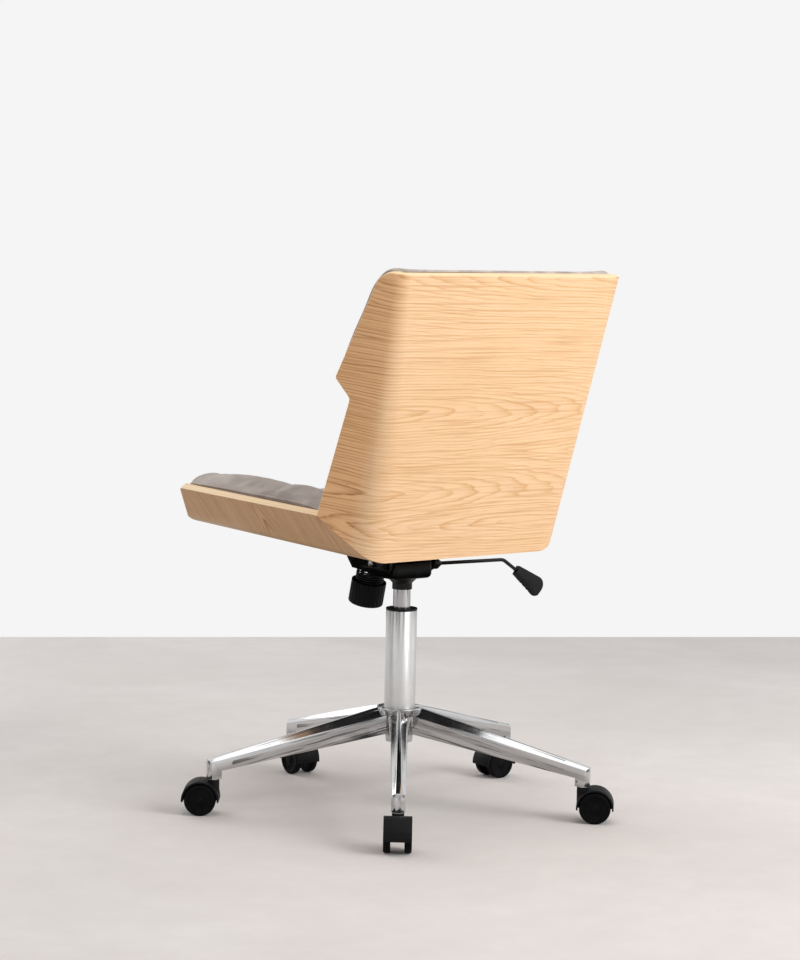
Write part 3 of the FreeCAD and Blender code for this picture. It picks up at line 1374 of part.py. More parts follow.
def wing_length(up):
    """How far the wing reaches ahead of the bend at a height up the back."""
    marks = [(size("wing_low_up"), size("wing_low")), (size("wing_waist_up"), size("wing_waist")),
             (size("wing_tip_up"), size("wing_tip")),
             (size("back_height") - 25, size("wing_top")), (size("back_height"), size("wing_top") - 18),
             (size("back_height") + 4, size("wing_top") - 26)]
    for (low, first), (high, second) in zip(marks, marks[1:]):
        if up <= high:
            return first + (second - first) * (up - low) / (high - low)
    return marks[-1][1]


def back_station(up, *fills):
    section = back_section(up)
    radius = part_way(size("heel_radius"), size("crest_radius"), up / size("back_height"))
    return section, (bend_at(up), section.angle(WING_OUT), wing_length(up), radius,
                     (PANEL_OUT, WING_OUT), fills, size("back_roll"))


front = -size("tray_front")
FRONT_SLANT = 34.0
seat_pad = pad_solid([
    mitre_station(0.4, TRAY_OUT, TRAY_SIDE_OUT, size("seat_roll"), 0.95, 0.95),
    tray_station(front + 357, -8, 1.0, 0.96),
    tray_station(front + 277, 0, 1.0, 0.97),
    tray_station(front + 187, 5, 1.0, 1.0),
    tray_station(front + 95, 15, 1.0, 0.99),
    tray_station(front + 50, 26, 0.97, 0.94),
    tray_station(front + 22, 32, 0.87, 0.82),
    tray_station(front + 4, FRONT_SLANT, 0.66, 0.58),
    tray_station(front - 6.5, FRONT_SLANT, 0.34, 0.26),
])
seat_cushion = doc.addObject("Part::Feature", "seat_pad")
seat_cushion.Shape = seat_pad
height = size("back_height")
back_pad = pad_solid([
    mitre_station(-0.4, PANEL_OUT, WING_OUT, size("back_roll"), 0.95, 0.95),
    back_station(120, 1.0, 0.85),
    back_station(size("wing_waist_up"), 1.05, 0.75),
    back_station(size("wing_tip_up"), 1.03, 0.75),
    back_station(height - 70, 0.95, 0.7),
    back_station(height - 26, 0.85, 0.55),
    back_station(height - 8, 0.7, 0.36),
    back_station(height + 3, 0.45, 0.2),
])
back_cushion = doc.addObject("Part::Feature", "back_pad")
back_cushion.Shape = back_pad

seat_board = box("seat_board", "2 * dim.board_half_width", "dim.seat_board_front + dim.seat_board_rear",
                 "dim.board")
seat_board_frame = Placement(
    Vector(-size("board_half_width"), -size("seat_board_front"),
           tray_bottom(-size("seat_board_front")) + ply / math.cos(tilt)),
    Rotation(Vector(1, 0, 0), -size("tray_tilt")))
seat_board.Placement = seat_board_frame
back_board = box("back_board", "2 * dim.board_half_width", "dim.board",
                 "dim.back_board_high - dim.back_board_low")
back_board.Placement = Placement(
    HEEL + PANEL_UP * size("back_board_low") - PANEL_OUT * (ply + size("board"))
    - Vector(size("board_half_width"), 0, 0),
    Rotation(Vector(1, 0, 0), -size("back_recline")))


def recess(name, board, outward):
    """The pocket in a cushion's underside that its board lies in, a little wider than the board."""
    low = board.Shape.copy()
    wide = doc.addObject("Part::Feature", name)
    wide.Shape = low.fuse(low.translated(outward * 4)).removeSplitter()
    return wide


doc.recompute()
node(seat_board, "seat_board")
node(back_board, "back_board")
node(cut("seat_cushion", seat_cushion, recess("seat_recess", seat_board, Vector(0, 0, -1))),
     "seat_cushion")
node(cut("back_cushion", back_cushion, recess("back_recess", back_board, PANEL_OUT)), "back_cushion")

doc.recompute()

os.makedirs("parts", exist_ok=True)
broken = [item.Name for item in doc.Objects if "Invalid" in item.State or "Error" in item.State]
if broken:
    raise RuntimeError("not built: " + ", ".join(broken))
for item in NODES:
    if item.Shape.isNull() or not item.Shape.isValid():
        raise RuntimeError("bad shape: " + item.Label)
for item in NODES:
    item.Shape.exportStep("parts/%s.step" % item.Label)
print("%d pieces" % len(NODES))
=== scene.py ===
import json
import math
import bmesh
import bpy
import numpy as np
from mathutils import Matrix, Vector
from mathutils.bvhtree import BVHTree


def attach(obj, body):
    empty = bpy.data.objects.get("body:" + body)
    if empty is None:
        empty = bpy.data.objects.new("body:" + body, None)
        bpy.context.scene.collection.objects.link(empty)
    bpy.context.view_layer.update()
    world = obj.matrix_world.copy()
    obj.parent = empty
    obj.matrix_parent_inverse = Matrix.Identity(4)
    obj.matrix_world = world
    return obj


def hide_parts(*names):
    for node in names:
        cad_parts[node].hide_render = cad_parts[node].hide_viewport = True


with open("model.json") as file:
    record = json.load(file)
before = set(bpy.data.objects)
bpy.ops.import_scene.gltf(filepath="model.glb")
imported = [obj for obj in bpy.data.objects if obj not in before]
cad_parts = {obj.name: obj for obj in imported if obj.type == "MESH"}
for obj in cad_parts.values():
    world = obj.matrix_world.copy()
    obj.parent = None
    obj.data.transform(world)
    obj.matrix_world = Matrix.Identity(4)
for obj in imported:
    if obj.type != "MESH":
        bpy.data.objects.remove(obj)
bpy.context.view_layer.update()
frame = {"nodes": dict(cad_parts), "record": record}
NODES = frame["nodes"]
MM = 0.001


# The chair faces -Y, with X to the sitter's left and Z up. Blender's own sizes are in metres.
# The lie of the sheets and the pads is worked out in millimetres, as in the solids.

# Small helpers.

def srgb(r, g, b):
    """A colour given as it looks on a screen, 0 to 255, as linear values."""
    out = []
    for value in (r, g, b):
        c = value / 255.0
        out.append(c / 12.92 if c <= 0.04045 else ((c + 0.055) / 1.055) ** 2.4)
    return (*out, 1.0)


def made(name, vertices, faces, smooth=True):
    mesh = bpy.data.meshes.new(name)
    mesh.from_pydata([tuple(v) for v in vertices], [], faces)
    mesh.validate()
    mesh.polygons.foreach_set("use_smooth", [smooth] * len(mesh.polygons))
    item = bpy.data.objects.new(name, mesh)
    bpy.context.scene.collection.objects.link(item)
    return item


def paint(item, *materials):
    item.data.materials.clear()
    for material in materials:
        item.data.materials.append(material)


def modifier(item, kind, **settings):
    added = item.modifiers.new(kind.lower(), kind)
    for key, value in settings.items():
        setattr(added, key, value)


def apply_all(item):
    """Turns the modified shape into the item's own mesh."""
    bpy.context.view_layer.update()
    seen = item.evaluated_get(bpy.context.evaluated_depsgraph_get())
    shape = bpy.data.meshes.new_from_object(seen)
    item.modifiers.clear()
    item.data = shape


class Tree:
    """A material's nodes, with short ways to add them."""

    def __init__(self, name):
        self.material = bpy.data.materials.new(name)
        self.material.use_nodes = True
        self.nodes = self.material.node_tree.nodes
        self.links = self.material.node_tree.links
        self.shader = self.nodes["Principled BSDF"]

    def feed(self, socket, value):
        if isinstance(value, bpy.types.NodeSocket):
            self.links.new(value, socket)
        else:
            socket.default_value = value

    def add(self, kind, inputs=(), **settings):
        item = self.nodes.new(kind)
        for key, value in settings.items():
            setattr(item, key, value)
        for key, value in dict(inputs).items():
            self.feed(item.inputs[key], value)
        return item

    def math(self, operation, *values):
        item = self.add("ShaderNodeMath", operation=operation)
        for number, value in enumerate(values):
            self.feed(item.inputs[number], value)
        return item.outputs[0]

    def place(self):
        return self.add("ShaderNodeTexCoord").outputs["Object"]

    def scaled(self, vector, x, y, z):
        item = self.add("ShaderNodeVectorMath", operation="MULTIPLY")
        self.feed(item.inputs[0], vector)
        item.inputs[1].default_value = (x, y, z)
        return item.outputs[0]

    def noise(self, vector, scale, detail=3.0, rough=0.55, distortion=0.0):
        item = self.add("ShaderNodeTexNoise", {"Vector": vector, "Scale": scale, "Detail": detail,
                                               "Roughness": rough, "Distortion": distortion})
        return item.outputs["Fac"]

    def drawn_out(self, vector, x, y, detail=3.0, rough=0.55):
        """Noise with x and y marks to the metre, long and thin where they differ."""
        return self.noise(self.scaled(vector, x, y, 1.0), 1.0, detail, rough)

    def centred(self, value):
        return self.math("SUBTRACT", value, 0.5)

    def ramp(self, value, *stops):
        """A grey scale through stops, each a place and its shade."""
        item = self.add("ShaderNodeValToRGB", {"Fac": value})
        elements = item.color_ramp.elements
        while len(elements) < len(stops):
            elements.new(0.5)
        for element, (at, shade) in zip(elements, stops):
            element.position = at
            element.color = (shade, shade, shade, 1.0)
        return item.outputs["Color"]

    def level(self, value, low, high, out_low=0.0, out_high=1.0, smooth=False):
        item = self.add("ShaderNodeMapRange", {"Value": value})
        item.inputs["From Min"].default_value = low
        item.inputs["From Max"].default_value = high
        item.inputs["To Min"].default_value = out_low
        item.inputs["To Max"].default_value = out_high
        if smooth:
            item.interpolation_type = "SMOOTHSTEP"
        return item.outputs["Result"]

    def mix(self, share, first, second, blend="MIX"):
        item = self.add("ShaderNodeMix", data_type="RGBA", blend_type=blend)
        self.feed(item.inputs[0], share)
        self.feed(item.inputs[6], first)
        self.feed(item.inputs[7], second)
        return item.outputs[2]

    def bump(self, height, distance, strength=1.0, under=None):
        item = self.add("ShaderNodeBump", {"Height": height, "Strength": strength,
                                           "Distance": distance})
        if under is not None:
            self.feed(item.inputs["Normal"], under)
        return item.outputs["Normal"]

    def finish(self, **sockets):
        for key, value in sockets.items():
            self.feed(self.shader.inputs[key.replace("_", " ")], value)
        return self.material


# Materials.

BASE_TURN = math.radians(51.3)
SECTOR = math.radians(72.0)
ARM_SLOPE = 0.24


RINGS = 225.0


def veneer_material(name, figures, tone=1.0, bend=0.2):
    """Crown-cut veneer: long ovals of growth rings round each figure's centre, straight grain
    between them. A figure is (u, v, depth, stretch): its centre along the grain and across it,
    the size of its innermost ring, and how fast the rings close along the grain.
    Past the bend the colour is darker and more orange: painted shade for the wings and flanges,
    which face away from the light."""
    # tone scales every colour of the sheet. Below 1 it darkens the whole sheet as painted shade.
    def shade(r, g, b):
        return srgb(r * tone, g * tone, b * tone)

    t = Tree(name)
    uv = t.add("ShaderNodeUVMap", uv_map="grain").outputs["UV"]
    split = t.add("ShaderNodeSeparateXYZ", {0: uv})
    u = split.outputs[0]
    v = split.outputs[1]
    sway = t.centred(t.drawn_out(uv, 4.0, 8.0, 2.0))
    v_bent = t.math("MULTIPLY_ADD", sway, 0.020, v)
    u_bent = t.math("MULTIPLY_ADD", t.centred(t.drawn_out(uv, 9.0, 30.0, 2.0)), 0.05, u)
    rings = None
    for centre_u, centre_v, depth, stretch in figures:
        across = t.math("SUBTRACT", v_bent, centre_v)
        along = t.math("MULTIPLY", t.math("SUBTRACT", u_bent, centre_u), stretch)
        far = t.math("SQRT", t.math("ADD", t.math("MULTIPLY_ADD", across, across, depth * depth),
                                    t.math("MULTIPLY", along, along)))
        rings = far if rings is None else t.math("SMOOTH_MIN", rings, far, 0.010)
    fine_sway = t.centred(t.drawn_out(uv, 6.0, 110.0))
    count = t.math("MULTIPLY_ADD", fine_sway, 1.1, t.math("MULTIPLY", rings, RINGS))
    phase = t.math("FRACT", count)
    ring = t.math("FLOOR", count)
    ring_tone = t.add("ShaderNodeTexWhiteNoise", {"W": ring},
                      noise_dimensions="1D").outputs["Value"]
    late = t.ramp(phase, (0.0, 0.0), (0.45, 0.06), (0.74, 0.50), (0.86, 1.0), (0.96, 0.05))
    late = t.math("MULTIPLY", late, t.level(ring_tone, 0.0, 1.0, 0.30, 1.0))
    thin = t.level(t.drawn_out(uv, 5.0, 300.0, 3.0, 0.6), 0.51, 0.63)
    pore = t.level(t.drawn_out(uv, 30.0, 1300.0, 2.0, 0.6), 0.56, 0.72)
    pore = t.math("MULTIPLY", pore, t.level(phase, 0.1, 0.9, 0.4, 1.0))
    fibre = t.drawn_out(uv, 9.0, 620.0, 4.0, 0.6)
    cloud = t.drawn_out(uv, 2.2, 5.5)
    colour = t.mix(t.level(cloud, 0.35, 0.68), shade(247, 210, 168), shade(243, 202, 157))
    colour = t.mix(t.level(fibre, 0.42, 0.70, 0.0, 0.30), colour, shade(221, 172, 122))
    colour = t.mix(t.math("MULTIPLY", thin, 0.55), colour, shade(208, 158, 108))
    # Painted shade: past the bend the late rings go darker and the whole colour is tinted orange,
    # for the wings and flanges that face away from the light.
    past_bend_shade = t.level(t.math("ABSOLUTE", u), bend, bend + 0.03, smooth=True)
    late = t.math("MULTIPLY", late, t.level(past_bend_shade, 0.0, 1.0, 0.85, 1.0))
    colour = t.mix(late, colour, t.mix(past_bend_shade, shade(212, 160, 98), shade(168, 116, 68)))
    colour = t.mix(t.math("MULTIPLY", pore, 0.45), colour, shade(176, 126, 82))
    knots = t.add("ShaderNodeTexVoronoi", {"Vector": t.scaled(uv, 8.0, 9.5, 1), "Scale": 1.0,
                                           "Randomness": 1.0}).outputs["Distance"]
    colour = t.mix(t.level(knots, 0.012, 0.024, 0.75, 0.0), colour, srgb(128, 86, 52))
    painted_warm_shade = t.mix(1.0, colour, (1.0, 0.88, 0.74, 1.0), "MULTIPLY")
    colour = t.mix(past_bend_shade, colour, painted_warm_shade)
    relief = t.math("SUBTRACT", t.math("MULTIPLY", fibre, 0.4), t.math("MULTIPLY", pore, 0.8))
    return t.finish(Base_Color=colour, Roughness=t.level(fibre, 0.3, 0.7, 0.42, 0.54),
                    Specular_IOR_Level=0.38, Coat_Weight=0.06, Coat_Roughness=0.32,
                    Normal=t.bump(relief, 0.00009, 0.55))


PLIES = 9.0


def ply_edge_material():
    """The sheet's edge: pale cross-cut layers. u runs along the edge, v through the sheet."""
    t = Tree("ply_edge")
    uv = t.add("ShaderNodeUVMap", uv_map="layers").outputs["UV"]
    split = t.add("ShaderNodeSeparateXYZ", {0: uv})
    waver = t.centred(t.drawn_out(uv, 14.0, 1.0, 2.0))
    depth = t.math("MULTIPLY_ADD", waver, 0.10, t.math("MULTIPLY", split.outputs[1], PLIES))
    layer = t.math("FLOOR", depth)
    within = t.math("FRACT", depth)
    tone = t.add("ShaderNodeTexWhiteNoise", {"W": layer}, noise_dimensions="1D").outputs["Value"]
    pale = t.mix(tone, srgb(248, 220, 179), srgb(240, 204, 156))
    glue = t.level(within, 0.0, 0.10, 0.30, 0.0)
    dots = t.drawn_out(uv, 700.0, 22.0, 2.0, 0.6)
    short = t.math("MULTIPLY", t.level(dots, 0.55, 0.75), t.math("GREATER_THAN", tone, 0.6))
    colour = t.mix(glue, pale, srgb(200, 152, 96))
    colour = t.mix(t.math("MULTIPLY", short, 0.32), colour, srgb(206, 160, 104))
    return t.finish(Base_Color=colour, Roughness=0.5, Specular_IOR_Level=0.4,
                    Normal=t.bump(dots, 0.00008, 0.4))


def velvet_material():
    """Brushed velvet: broad swept patches, strokes in them, and a fine pile."""
    t = Tree("velvet")
    at = t.place()
    swept = t.noise(t.scaled(at, 9.0, 5.0, 9.0), 1.0, 3.0, 0.5, 0.8)
    stroke = t.noise(t.scaled(at, 38.0, 16.0, 30.0), 1.0, 3.0, 0.5, 0.4)
    pile = t.noise(at, 2400.0, 2.0, 0.6)
    tone = t.mix(t.level(swept, 0.36, 0.62), srgb(160, 148, 142), srgb(197, 186, 178))
    tone = t.mix(t.level(stroke, 0.44, 0.66, 0.0, 0.6), tone, srgb(216, 206, 199))
    tone = t.mix(t.level(pile, 0.35, 0.65, 0.0, 0.35), tone, srgb(146, 134, 128))
    lay = t.bump(stroke, 0.0006, 0.25)
    normal = t.bump(pile, 0.00025, 0.5, lay)
    return t.finish(Base_Color=tone, Roughness=0.86, Specular_IOR_Level=0.25, Sheen_Weight=0.14,
                    Sheen_Roughness=0.38, Sheen_Tint=srgb(214, 206, 202), Normal=normal)


def metal_material(name, colour, rough, polish_scale, rough_spread, bump=0.0, along=(1, 1, 1)):
    """Plated or polished metal, its polish uneven, in smears drawn out by along."""
    t = Tree(name)
    at = t.place()
    smear = t.noise(t.scaled(at, *along), polish_scale, 4.0, 0.6)
    wear = t.noise(at, 46.0, 3.0, 0.6)
    worn = tuple(c * 0.86 for c in colour[:3]) + (1.0,)
    tone = t.mix(t.level(wear, 0.3, 0.7, 0.0, 0.35), colour, worn)
    if bump:
        t.finish(Normal=t.bump(smear, bump, 0.5))
    return t.finish(Base_Color=tone, Metallic=1.0,
                    Roughness=t.level(smear, 0.3, 0.7, rough, rough + rough_spread))


def aluminium_material():
    """Polished casting, its colour painted with broad grey patches and dark streaks along each
    arm: painted reflections, not marks in the metal.
    """
    t = Tree("polished_aluminium")
    at = t.place()
    split = t.add("ShaderNodeSeparateXYZ", {0: at})
    x, y, z = split.outputs
    around = t.math("SUBTRACT", t.math("ARCTAN2", y, x), BASE_TURN)
    arm = t.math("MULTIPLY", t.math("ROUND", t.math("DIVIDE", around, SECTOR)), SECTOR)
    sector = t.math("SUBTRACT", around, arm)
    out = t.math("SQRT", t.math("ADD", t.math("MULTIPLY", x, x), t.math("MULTIPLY", y, y)))
    across = t.math("MULTIPLY", out, t.math("SINE", sector))
    along = t.math("MULTIPLY", out, t.math("COSINE", sector))
    level = t.math("MULTIPLY_ADD", along, ARM_SLOPE, z)
    lie = t.add("ShaderNodeCombineXYZ", {0: t.math("MULTIPLY", across, 520.0),
                                         1: t.math("MULTIPLY", along, 5.0),
                                         2: t.math("MULTIPLY", level, 330.0)}).outputs[0]
    # Painted reflections: the base colour goes grey in broad patches along each arm, and dark in
    # streaks that stop short of the tip.
    before_tip = t.level(along, 0.278, 0.290, 1.0, 0.0)
    painted_reflection_streak = t.math("MULTIPLY", t.noise(lie, 1.0, 3.0, 0.6), before_tip)
    broad = t.noise(t.scaled(lie, 0.3, 0.6, 0.3), 1.0, 2.0)
    smear = t.noise(at, 46.0, 3.0, 0.6)
    tone = t.mix(t.level(broad, 0.35, 0.65), (0.62, 0.62, 0.625, 1), (0.38, 0.38, 0.385, 1))
    tone = t.mix(t.level(painted_reflection_streak, 0.55, 0.63, 0.0, 0.9), tone, (0.11, 0.11, 0.115, 1))
    return t.finish(Base_Color=tone, Metallic=1.0, Normal=t.bump(smear, 0.00005, 0.5),
                    Roughness=t.level(smear, 0.3, 0.7, 0.10, 0.18))


def black_material(name, colour, rough, grain_scale, grain_depth, shine=0.12):
    """Moulded plastic or powder coat: a fine grain, slightly scuffed."""
    t = Tree(name)
    at = t.place()
    grain = t.noise(at, grain_scale, 3.0, 0.55)
    scuff = t.noise(at, 60.0, 4.0, 0.65)
    scuffed = tuple(c * 1.5 + 0.004 for c in colour[:3]) + (1.0,)
    tone = t.mix(t.level(scuff, 0.45, 0.75, 0.0, 0.5), colour, scuffed)
    return t.finish(Base_Color=tone, Roughness=t.level(scuff, 0.3, 0.7, rough, rough + 0.12),
                    Specular_IOR_Level=shine, Normal=t.bump(grain, grain_depth, 0.6))


BACK_FIGURES = [(0.26, 0.237, 0.007, 0.085), (0.33, 0.110, 0.007, 0.090),
                (-0.13, 0.054, 0.006, 0.085), (-0.36, 0.452, 0.006, 0.075)]
SEAT_FIGURES = [(0.10, 0.07, 0.006, 0.07), (-0.15, 0.24, 0.007, 0.08),
                (0.25, 0.43, 0.006, 0.07)]
BACK_VENEER = veneer_material("veneer_back", BACK_FIGURES)
# The seat shell is darkened to 0.84 of the back's colours: painted shade for the tray, which lies
# in shadow under the pad.
SEAT_VENEER = veneer_material("veneer_seat", SEAT_FIGURES, 0.84, 0.18)
PLY_EDGE = ply_edge_material()
VELVET = velvet_material()
ALUMINIUM = aluminium_material()
UPRIGHT = (1, 1, 0.08)
COLUMN = metal_material("satin_chrome", (0.66, 0.66, 0.655, 1), 0.44, 60.0, 0.06, 0.0, UPRIGHT)
CHROME = metal_material("chrome", (0.52, 0.52, 0.53, 1), 0.14, 60.0, 0.05, 0.0, UPRIGHT)
ZINC = metal_material("zinc_plate", (0.58, 0.58, 0.56, 1), 0.30, 220.0, 0.15, 0.00003)
POWDER = black_material("powder_coat", srgb(12, 12, 12), 0.32, 1300.0, 0.00008, 0.22)
SPRING = black_material("oiled_steel", srgb(14, 14, 15), 0.30, 600.0, 0.00003, 0.25)
NYLON = black_material("moulded_nylon", srgb(18, 18, 19), 0.42, 1700.0, 0.00007, 0.2)
KNOB = black_material("moulded_knob", srgb(10, 10, 11), 0.46, 1500.0, 0.00006)
HOOD = black_material("castor_nylon", srgb(15, 14, 16), 0.50, 1500.0, 0.00008)
WHEEL = black_material("wheel_nylon", srgb(6, 6, 7), 0.46, 900.0, 0.00005, 0.07)


# Pieces taken from the solids, with eased edges.

WELD = 3e-6
LEAST_EDGE = 1e-6
FLAT = math.radians(0.4)
SHARP = 42
SHEET_SHARP = 40


def welded(node):
    """The node's shape as one joined mesh, with flat faces whole."""
    shape = bmesh.new()
    shape.from_mesh(NODES[node].data)
    bmesh.ops.remove_doubles(shape, verts=shape.verts, dist=WELD)
    bmesh.ops.dissolve_degenerate(shape, dist=LEAST_EDGE, edges=shape.edges)
    bmesh.ops.dissolve_limit(shape, angle_limit=FLAT, verts=shape.verts, edges=shape.edges)
    shape.verts.ensure_lookup_table()
    vertices = [v.co.copy() for v in shape.verts]
    faces = [[v.index for v in f.verts] for f in shape.faces]
    shape.free()
    return vertices, faces


def body_of(node):
    for body, members in frame["record"]["behaviour"]["bodies"].items():
        if node in members:
            return body


def eased(node, name, material, ease, segments=2, angle=35):
    """The node with its edges eased by that many metres, in its place."""
    vertices, faces = welded(node)
    item = made(name, vertices, faces)
    if ease:
        modifier(item, "BEVEL", width=ease, segments=segments, limit_method="ANGLE",
                 angle_limit=math.radians(angle), harden_normals=True, use_clamp_overlap=True,
                 miter_outer="MITER_ARC")
        apply_all(item)
    sharpen(item, SHARP)
    paint(item, material)
    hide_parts(node)
    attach(item, body_of(node))


def sharpen(item, angle):
    """Smooth shading, broken at edges sharper than angle."""
    shape = bmesh.new()
    shape.from_mesh(item.data)
    for edge in shape.edges:
        edge.smooth = not (edge.is_manifold and edge.calc_face_angle(0.0) > math.radians(angle))
    for face in shape.faces:
        face.smooth = True
    shape.to_mesh(item.data)
    shape.free()


# The lie of the two bent sheets, in millimetres as the solids have them.

PLY = 15.0
TRAY_RADIUS = 35.0
HEEL_RADIUS = 50.0
CREST_RADIUS = 28.0
TILT = math.radians(2.13)
RECLINE = math.radians(13.6)
MITRE_LEAN = math.radians(43.6)
TRAY_LEVEL = 425.2
TRAY_FRONT = 337.0
TRAY_BEND = 182.0
FLANGE_FRONT = 78.0
FLANGE_REAR = 113.0
FLARE_FRONT = math.radians(38.7)
FLARE_REAR = math.radians(30.05)
BACK_HEIGHT = 452.0
BACK_BEND_TOP = 217.7
WING_FLARE = math.radians(31.0)


def tray_bottom(y):
    return TRAY_LEVEL - math.tan(TILT) * y


HEEL = Vector((0, 151.4, tray_bottom(151.4)))
PANEL_OUT = Vector((0, math.cos(RECLINE), -math.sin(RECLINE)))
PANEL_UP = Vector((0, math.sin(RECLINE), math.cos(RECLINE)))
TRAY_OUT = Vector((0, -math.sin(TILT), -math.cos(TILT)))
TRAY_AHEAD = Vector((0, -math.cos(TILT), math.sin(TILT)))
TRAY_SIDE_OUT = Vector((math.cos(FLARE_FRONT), 0, -math.sin(FLARE_FRONT)))
HEEL_CORNER = HEEL + Vector((TRAY_BEND, 0, 0))
MITRE_NORMAL = Vector((0, -math.cos(MITRE_LEAN), -math.sin(MITRE_LEAN)))
FRONT_CORNER = Vector((TRAY_BEND, -TRAY_FRONT, tray_bottom(-TRAY_FRONT)))
BACK_BEND = (PANEL_UP * BACK_HEIGHT + Vector((BACK_BEND_TOP - TRAY_BEND, 0, 0))).normalized()
WING_OUT = BACK_BEND.cross(Vector((math.sin(WING_FLARE), -math.cos(WING_FLARE), 0))).normalized()


class Sheet:
    """A bent sheet laid flat: a point becomes (along the grain, across it, depth).
    Its bend's radius goes evenly from the heel's to far_radius, reach along from the heel."""

    def __init__(self, out, up, line, side_out, far_radius, reach):
        self.out = out
        self.up = up
        self.line = line
        self.side_out = side_out
        self.far_radius = far_radius
        self.reach = reach
        self.ahead = side_out.cross(line).normalized()
        if self.ahead.dot(out) > 0:
            self.ahead = -self.ahead
        self.inwards = line.cross(out).normalized()
        if self.inwards.x > 0:
            self.inwards = -self.inwards
        self.turn = math.acos(-self.inwards.dot(self.ahead))

    def flat(self, point):
        sign = 1.0 if point.x >= 0 else -1.0
        p = Vector((abs(point.x), point.y, point.z))
        foot = HEEL_CORNER + self.line * (p - HEEL_CORNER).dot(self.line)
        q = p - foot
        share = (foot - HEEL_CORNER).length / self.reach
        radius = HEEL_RADIUS + (self.far_radius - HEEL_RADIUS) * share
        tangent = radius * math.tan(self.turn / 2)
        inside = q.dot(self.inwards)
        middle_depth = -(p - HEEL).dot(self.out)
        if inside >= tangent:
            return Vector((sign * p.x, (p - HEEL).dot(self.up), middle_depth))
        v = (foot - HEEL).dot(self.up) + tangent * self.inwards.dot(self.up)
        start = foot.x + tangent * self.inwards.x
        past = q.dot(self.ahead)
        if past >= tangent:
            along = start + radius * self.turn + past - tangent
            return Vector((sign * along, v, -q.dot(self.side_out)))
        centre = self.inwards * tangent - self.out * radius
        from_centre = q - centre
        angle = from_centre.angle(self.out, 0.0)
        return Vector((sign * (start + radius * angle), v, radius - from_centre.length))


BACK_SHEET = Sheet(PANEL_OUT, PANEL_UP, BACK_BEND, WING_OUT, CREST_RADIUS, BACK_HEIGHT)
TRAY_LINE = (FRONT_CORNER - HEEL_CORNER).normalized()
FLANGE_UP = Vector((math.sin(FLARE_FRONT), 0, math.cos(FLARE_FRONT)))
TRAY_SHEET = Sheet(TRAY_OUT, TRAY_AHEAD, TRAY_LINE, FLANGE_UP.cross(TRAY_LINE).normalized(),
                   TRAY_RADIUS, (FRONT_CORNER - HEEL_CORNER).length)


ON_FACE = 0.75
RIM_ROUND = 2.6
NEAR_MITRE = 3.0


def face_turn(sheet, face, centre):
    """How squarely a face lies on the sheet: 1 on its faces, 0 on its edges."""
    step = face.normal * 0.5
    return abs(sheet.flat(centre + step).z - sheet.flat(centre - step).z)


def by_the_holes(point):
    return abs(point.x) < 110 and -200 < point.y < 100 and point.z < 460


def rounded_rim(item, sheet):
    """The sheet's free edges rounded. Its mitre and its bolt holes stay sharp."""
    shape = bmesh.new()
    shape.from_mesh(item.data)
    turns = {f: face_turn(sheet, f, f.calc_center_median() / MM) for f in shape.faces}
    rims = []
    for edge in shape.edges:
        if len(edge.link_faces) != 2:
            continue
        low, high = sorted(turns[face] for face in edge.link_faces)
        middle = (edge.verts[0].co + edge.verts[1].co) / (2 * MM)
        on_mitre = abs((middle - HEEL).dot(MITRE_NORMAL)) < NEAR_MITRE
        if high > 0.9 and low < 0.3 and not on_mitre and not by_the_holes(middle):
            rims.append(edge)
    bmesh.ops.bevel(shape, geom=rims, offset=RIM_ROUND * MM, segments=4, profile=0.5,
                    affect="EDGES", clamp_overlap=False)
    shape.to_mesh(item.data)
    shape.free()


def veneered(node, name, sheet, face_material):
    """A bent sheet with its grain and its layers laid out, and its edges eased."""
    vertices, faces = welded(node)
    item = made(name, vertices, faces)
    rounded_rim(item, sheet)
    paint(item, face_material, PLY_EDGE)
    mesh = item.data
    grain = mesh.uv_layers.new(name="grain")
    layers = mesh.uv_layers.new(name="layers")
    laid = [sheet.flat(v.co / MM) for v in mesh.vertices]
    for face in mesh.polygons:
        face.material_index = 0 if face_turn(sheet, face, face.center / MM) > ON_FACE else 1
        for corner in face.loop_indices:
            index = mesh.loops[corner].vertex_index
            at = laid[index]
            grain.data[corner].uv = (at.x * MM, at.y * MM)
            place = mesh.vertices[index].co
            layers.data[corner].uv = (place.y + place.z * 0.7 + abs(place.x) * 0.5, at.z / PLY)
    sharpen(item, SHEET_SHARP)
    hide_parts(node)
    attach(item, "seat")


# Cushions.

PAD_GAP = 0.8


class Section:
    """A plane across the chair, in which one outline of a cushion is drawn: x to the sitter's
    left, y along inward from origin."""

    def __init__(self, origin, inward):
        self.origin = origin
        self.inward = inward
        self.normal = Vector((1, 0, 0)).cross(inward)

    def depth(self, out, thickness):
        """How wide a layer of that thickness, facing out, shows in the section."""
        return thickness / (out - self.normal * out.dot(self.normal)).length

    def angle(self, out):
        """How far the sheet that faces out leans sideways in the section."""
        line = out.cross(self.normal).normalized()
        if line.dot(self.inward) < 0:
            line = -line
        return math.atan2(line.x, line.dot(self.inward))

    def crossing(self, start, end):
        """Where the line from start to end goes through the section."""
        along = end - start
        return start + along * ((self.origin - start).dot(self.normal) / along.dot(self.normal))

    def point(self, x, y):
        return self.origin + Vector((1, 0, 0)) * x + self.inward * y


def offset_corner(corner, angle, middle, side):
    """The corner between two faces, middle above the flat and side in from the flank."""
    along = (middle - side * math.sin(angle)) / math.cos(angle)
    return corner - side * math.cos(angle) + math.sin(angle) * along, middle


def side_point(corner, angle, side, along):
    """A point along the flank, side in from its outer face."""
    return (corner - side * math.cos(angle) + math.sin(angle) * along,
            side * math.sin(angle) + math.cos(angle) * along)


ARC_STEPS = (4, 6, 6, 4, 8, 8, 6, 6, 8, 8)
SIDE_STEPS = (14, 46, 14, 3, 12, 18, 22, 18, 12, 3)
LEAST_REACH = 0.05
ROOM_USED = 0.96


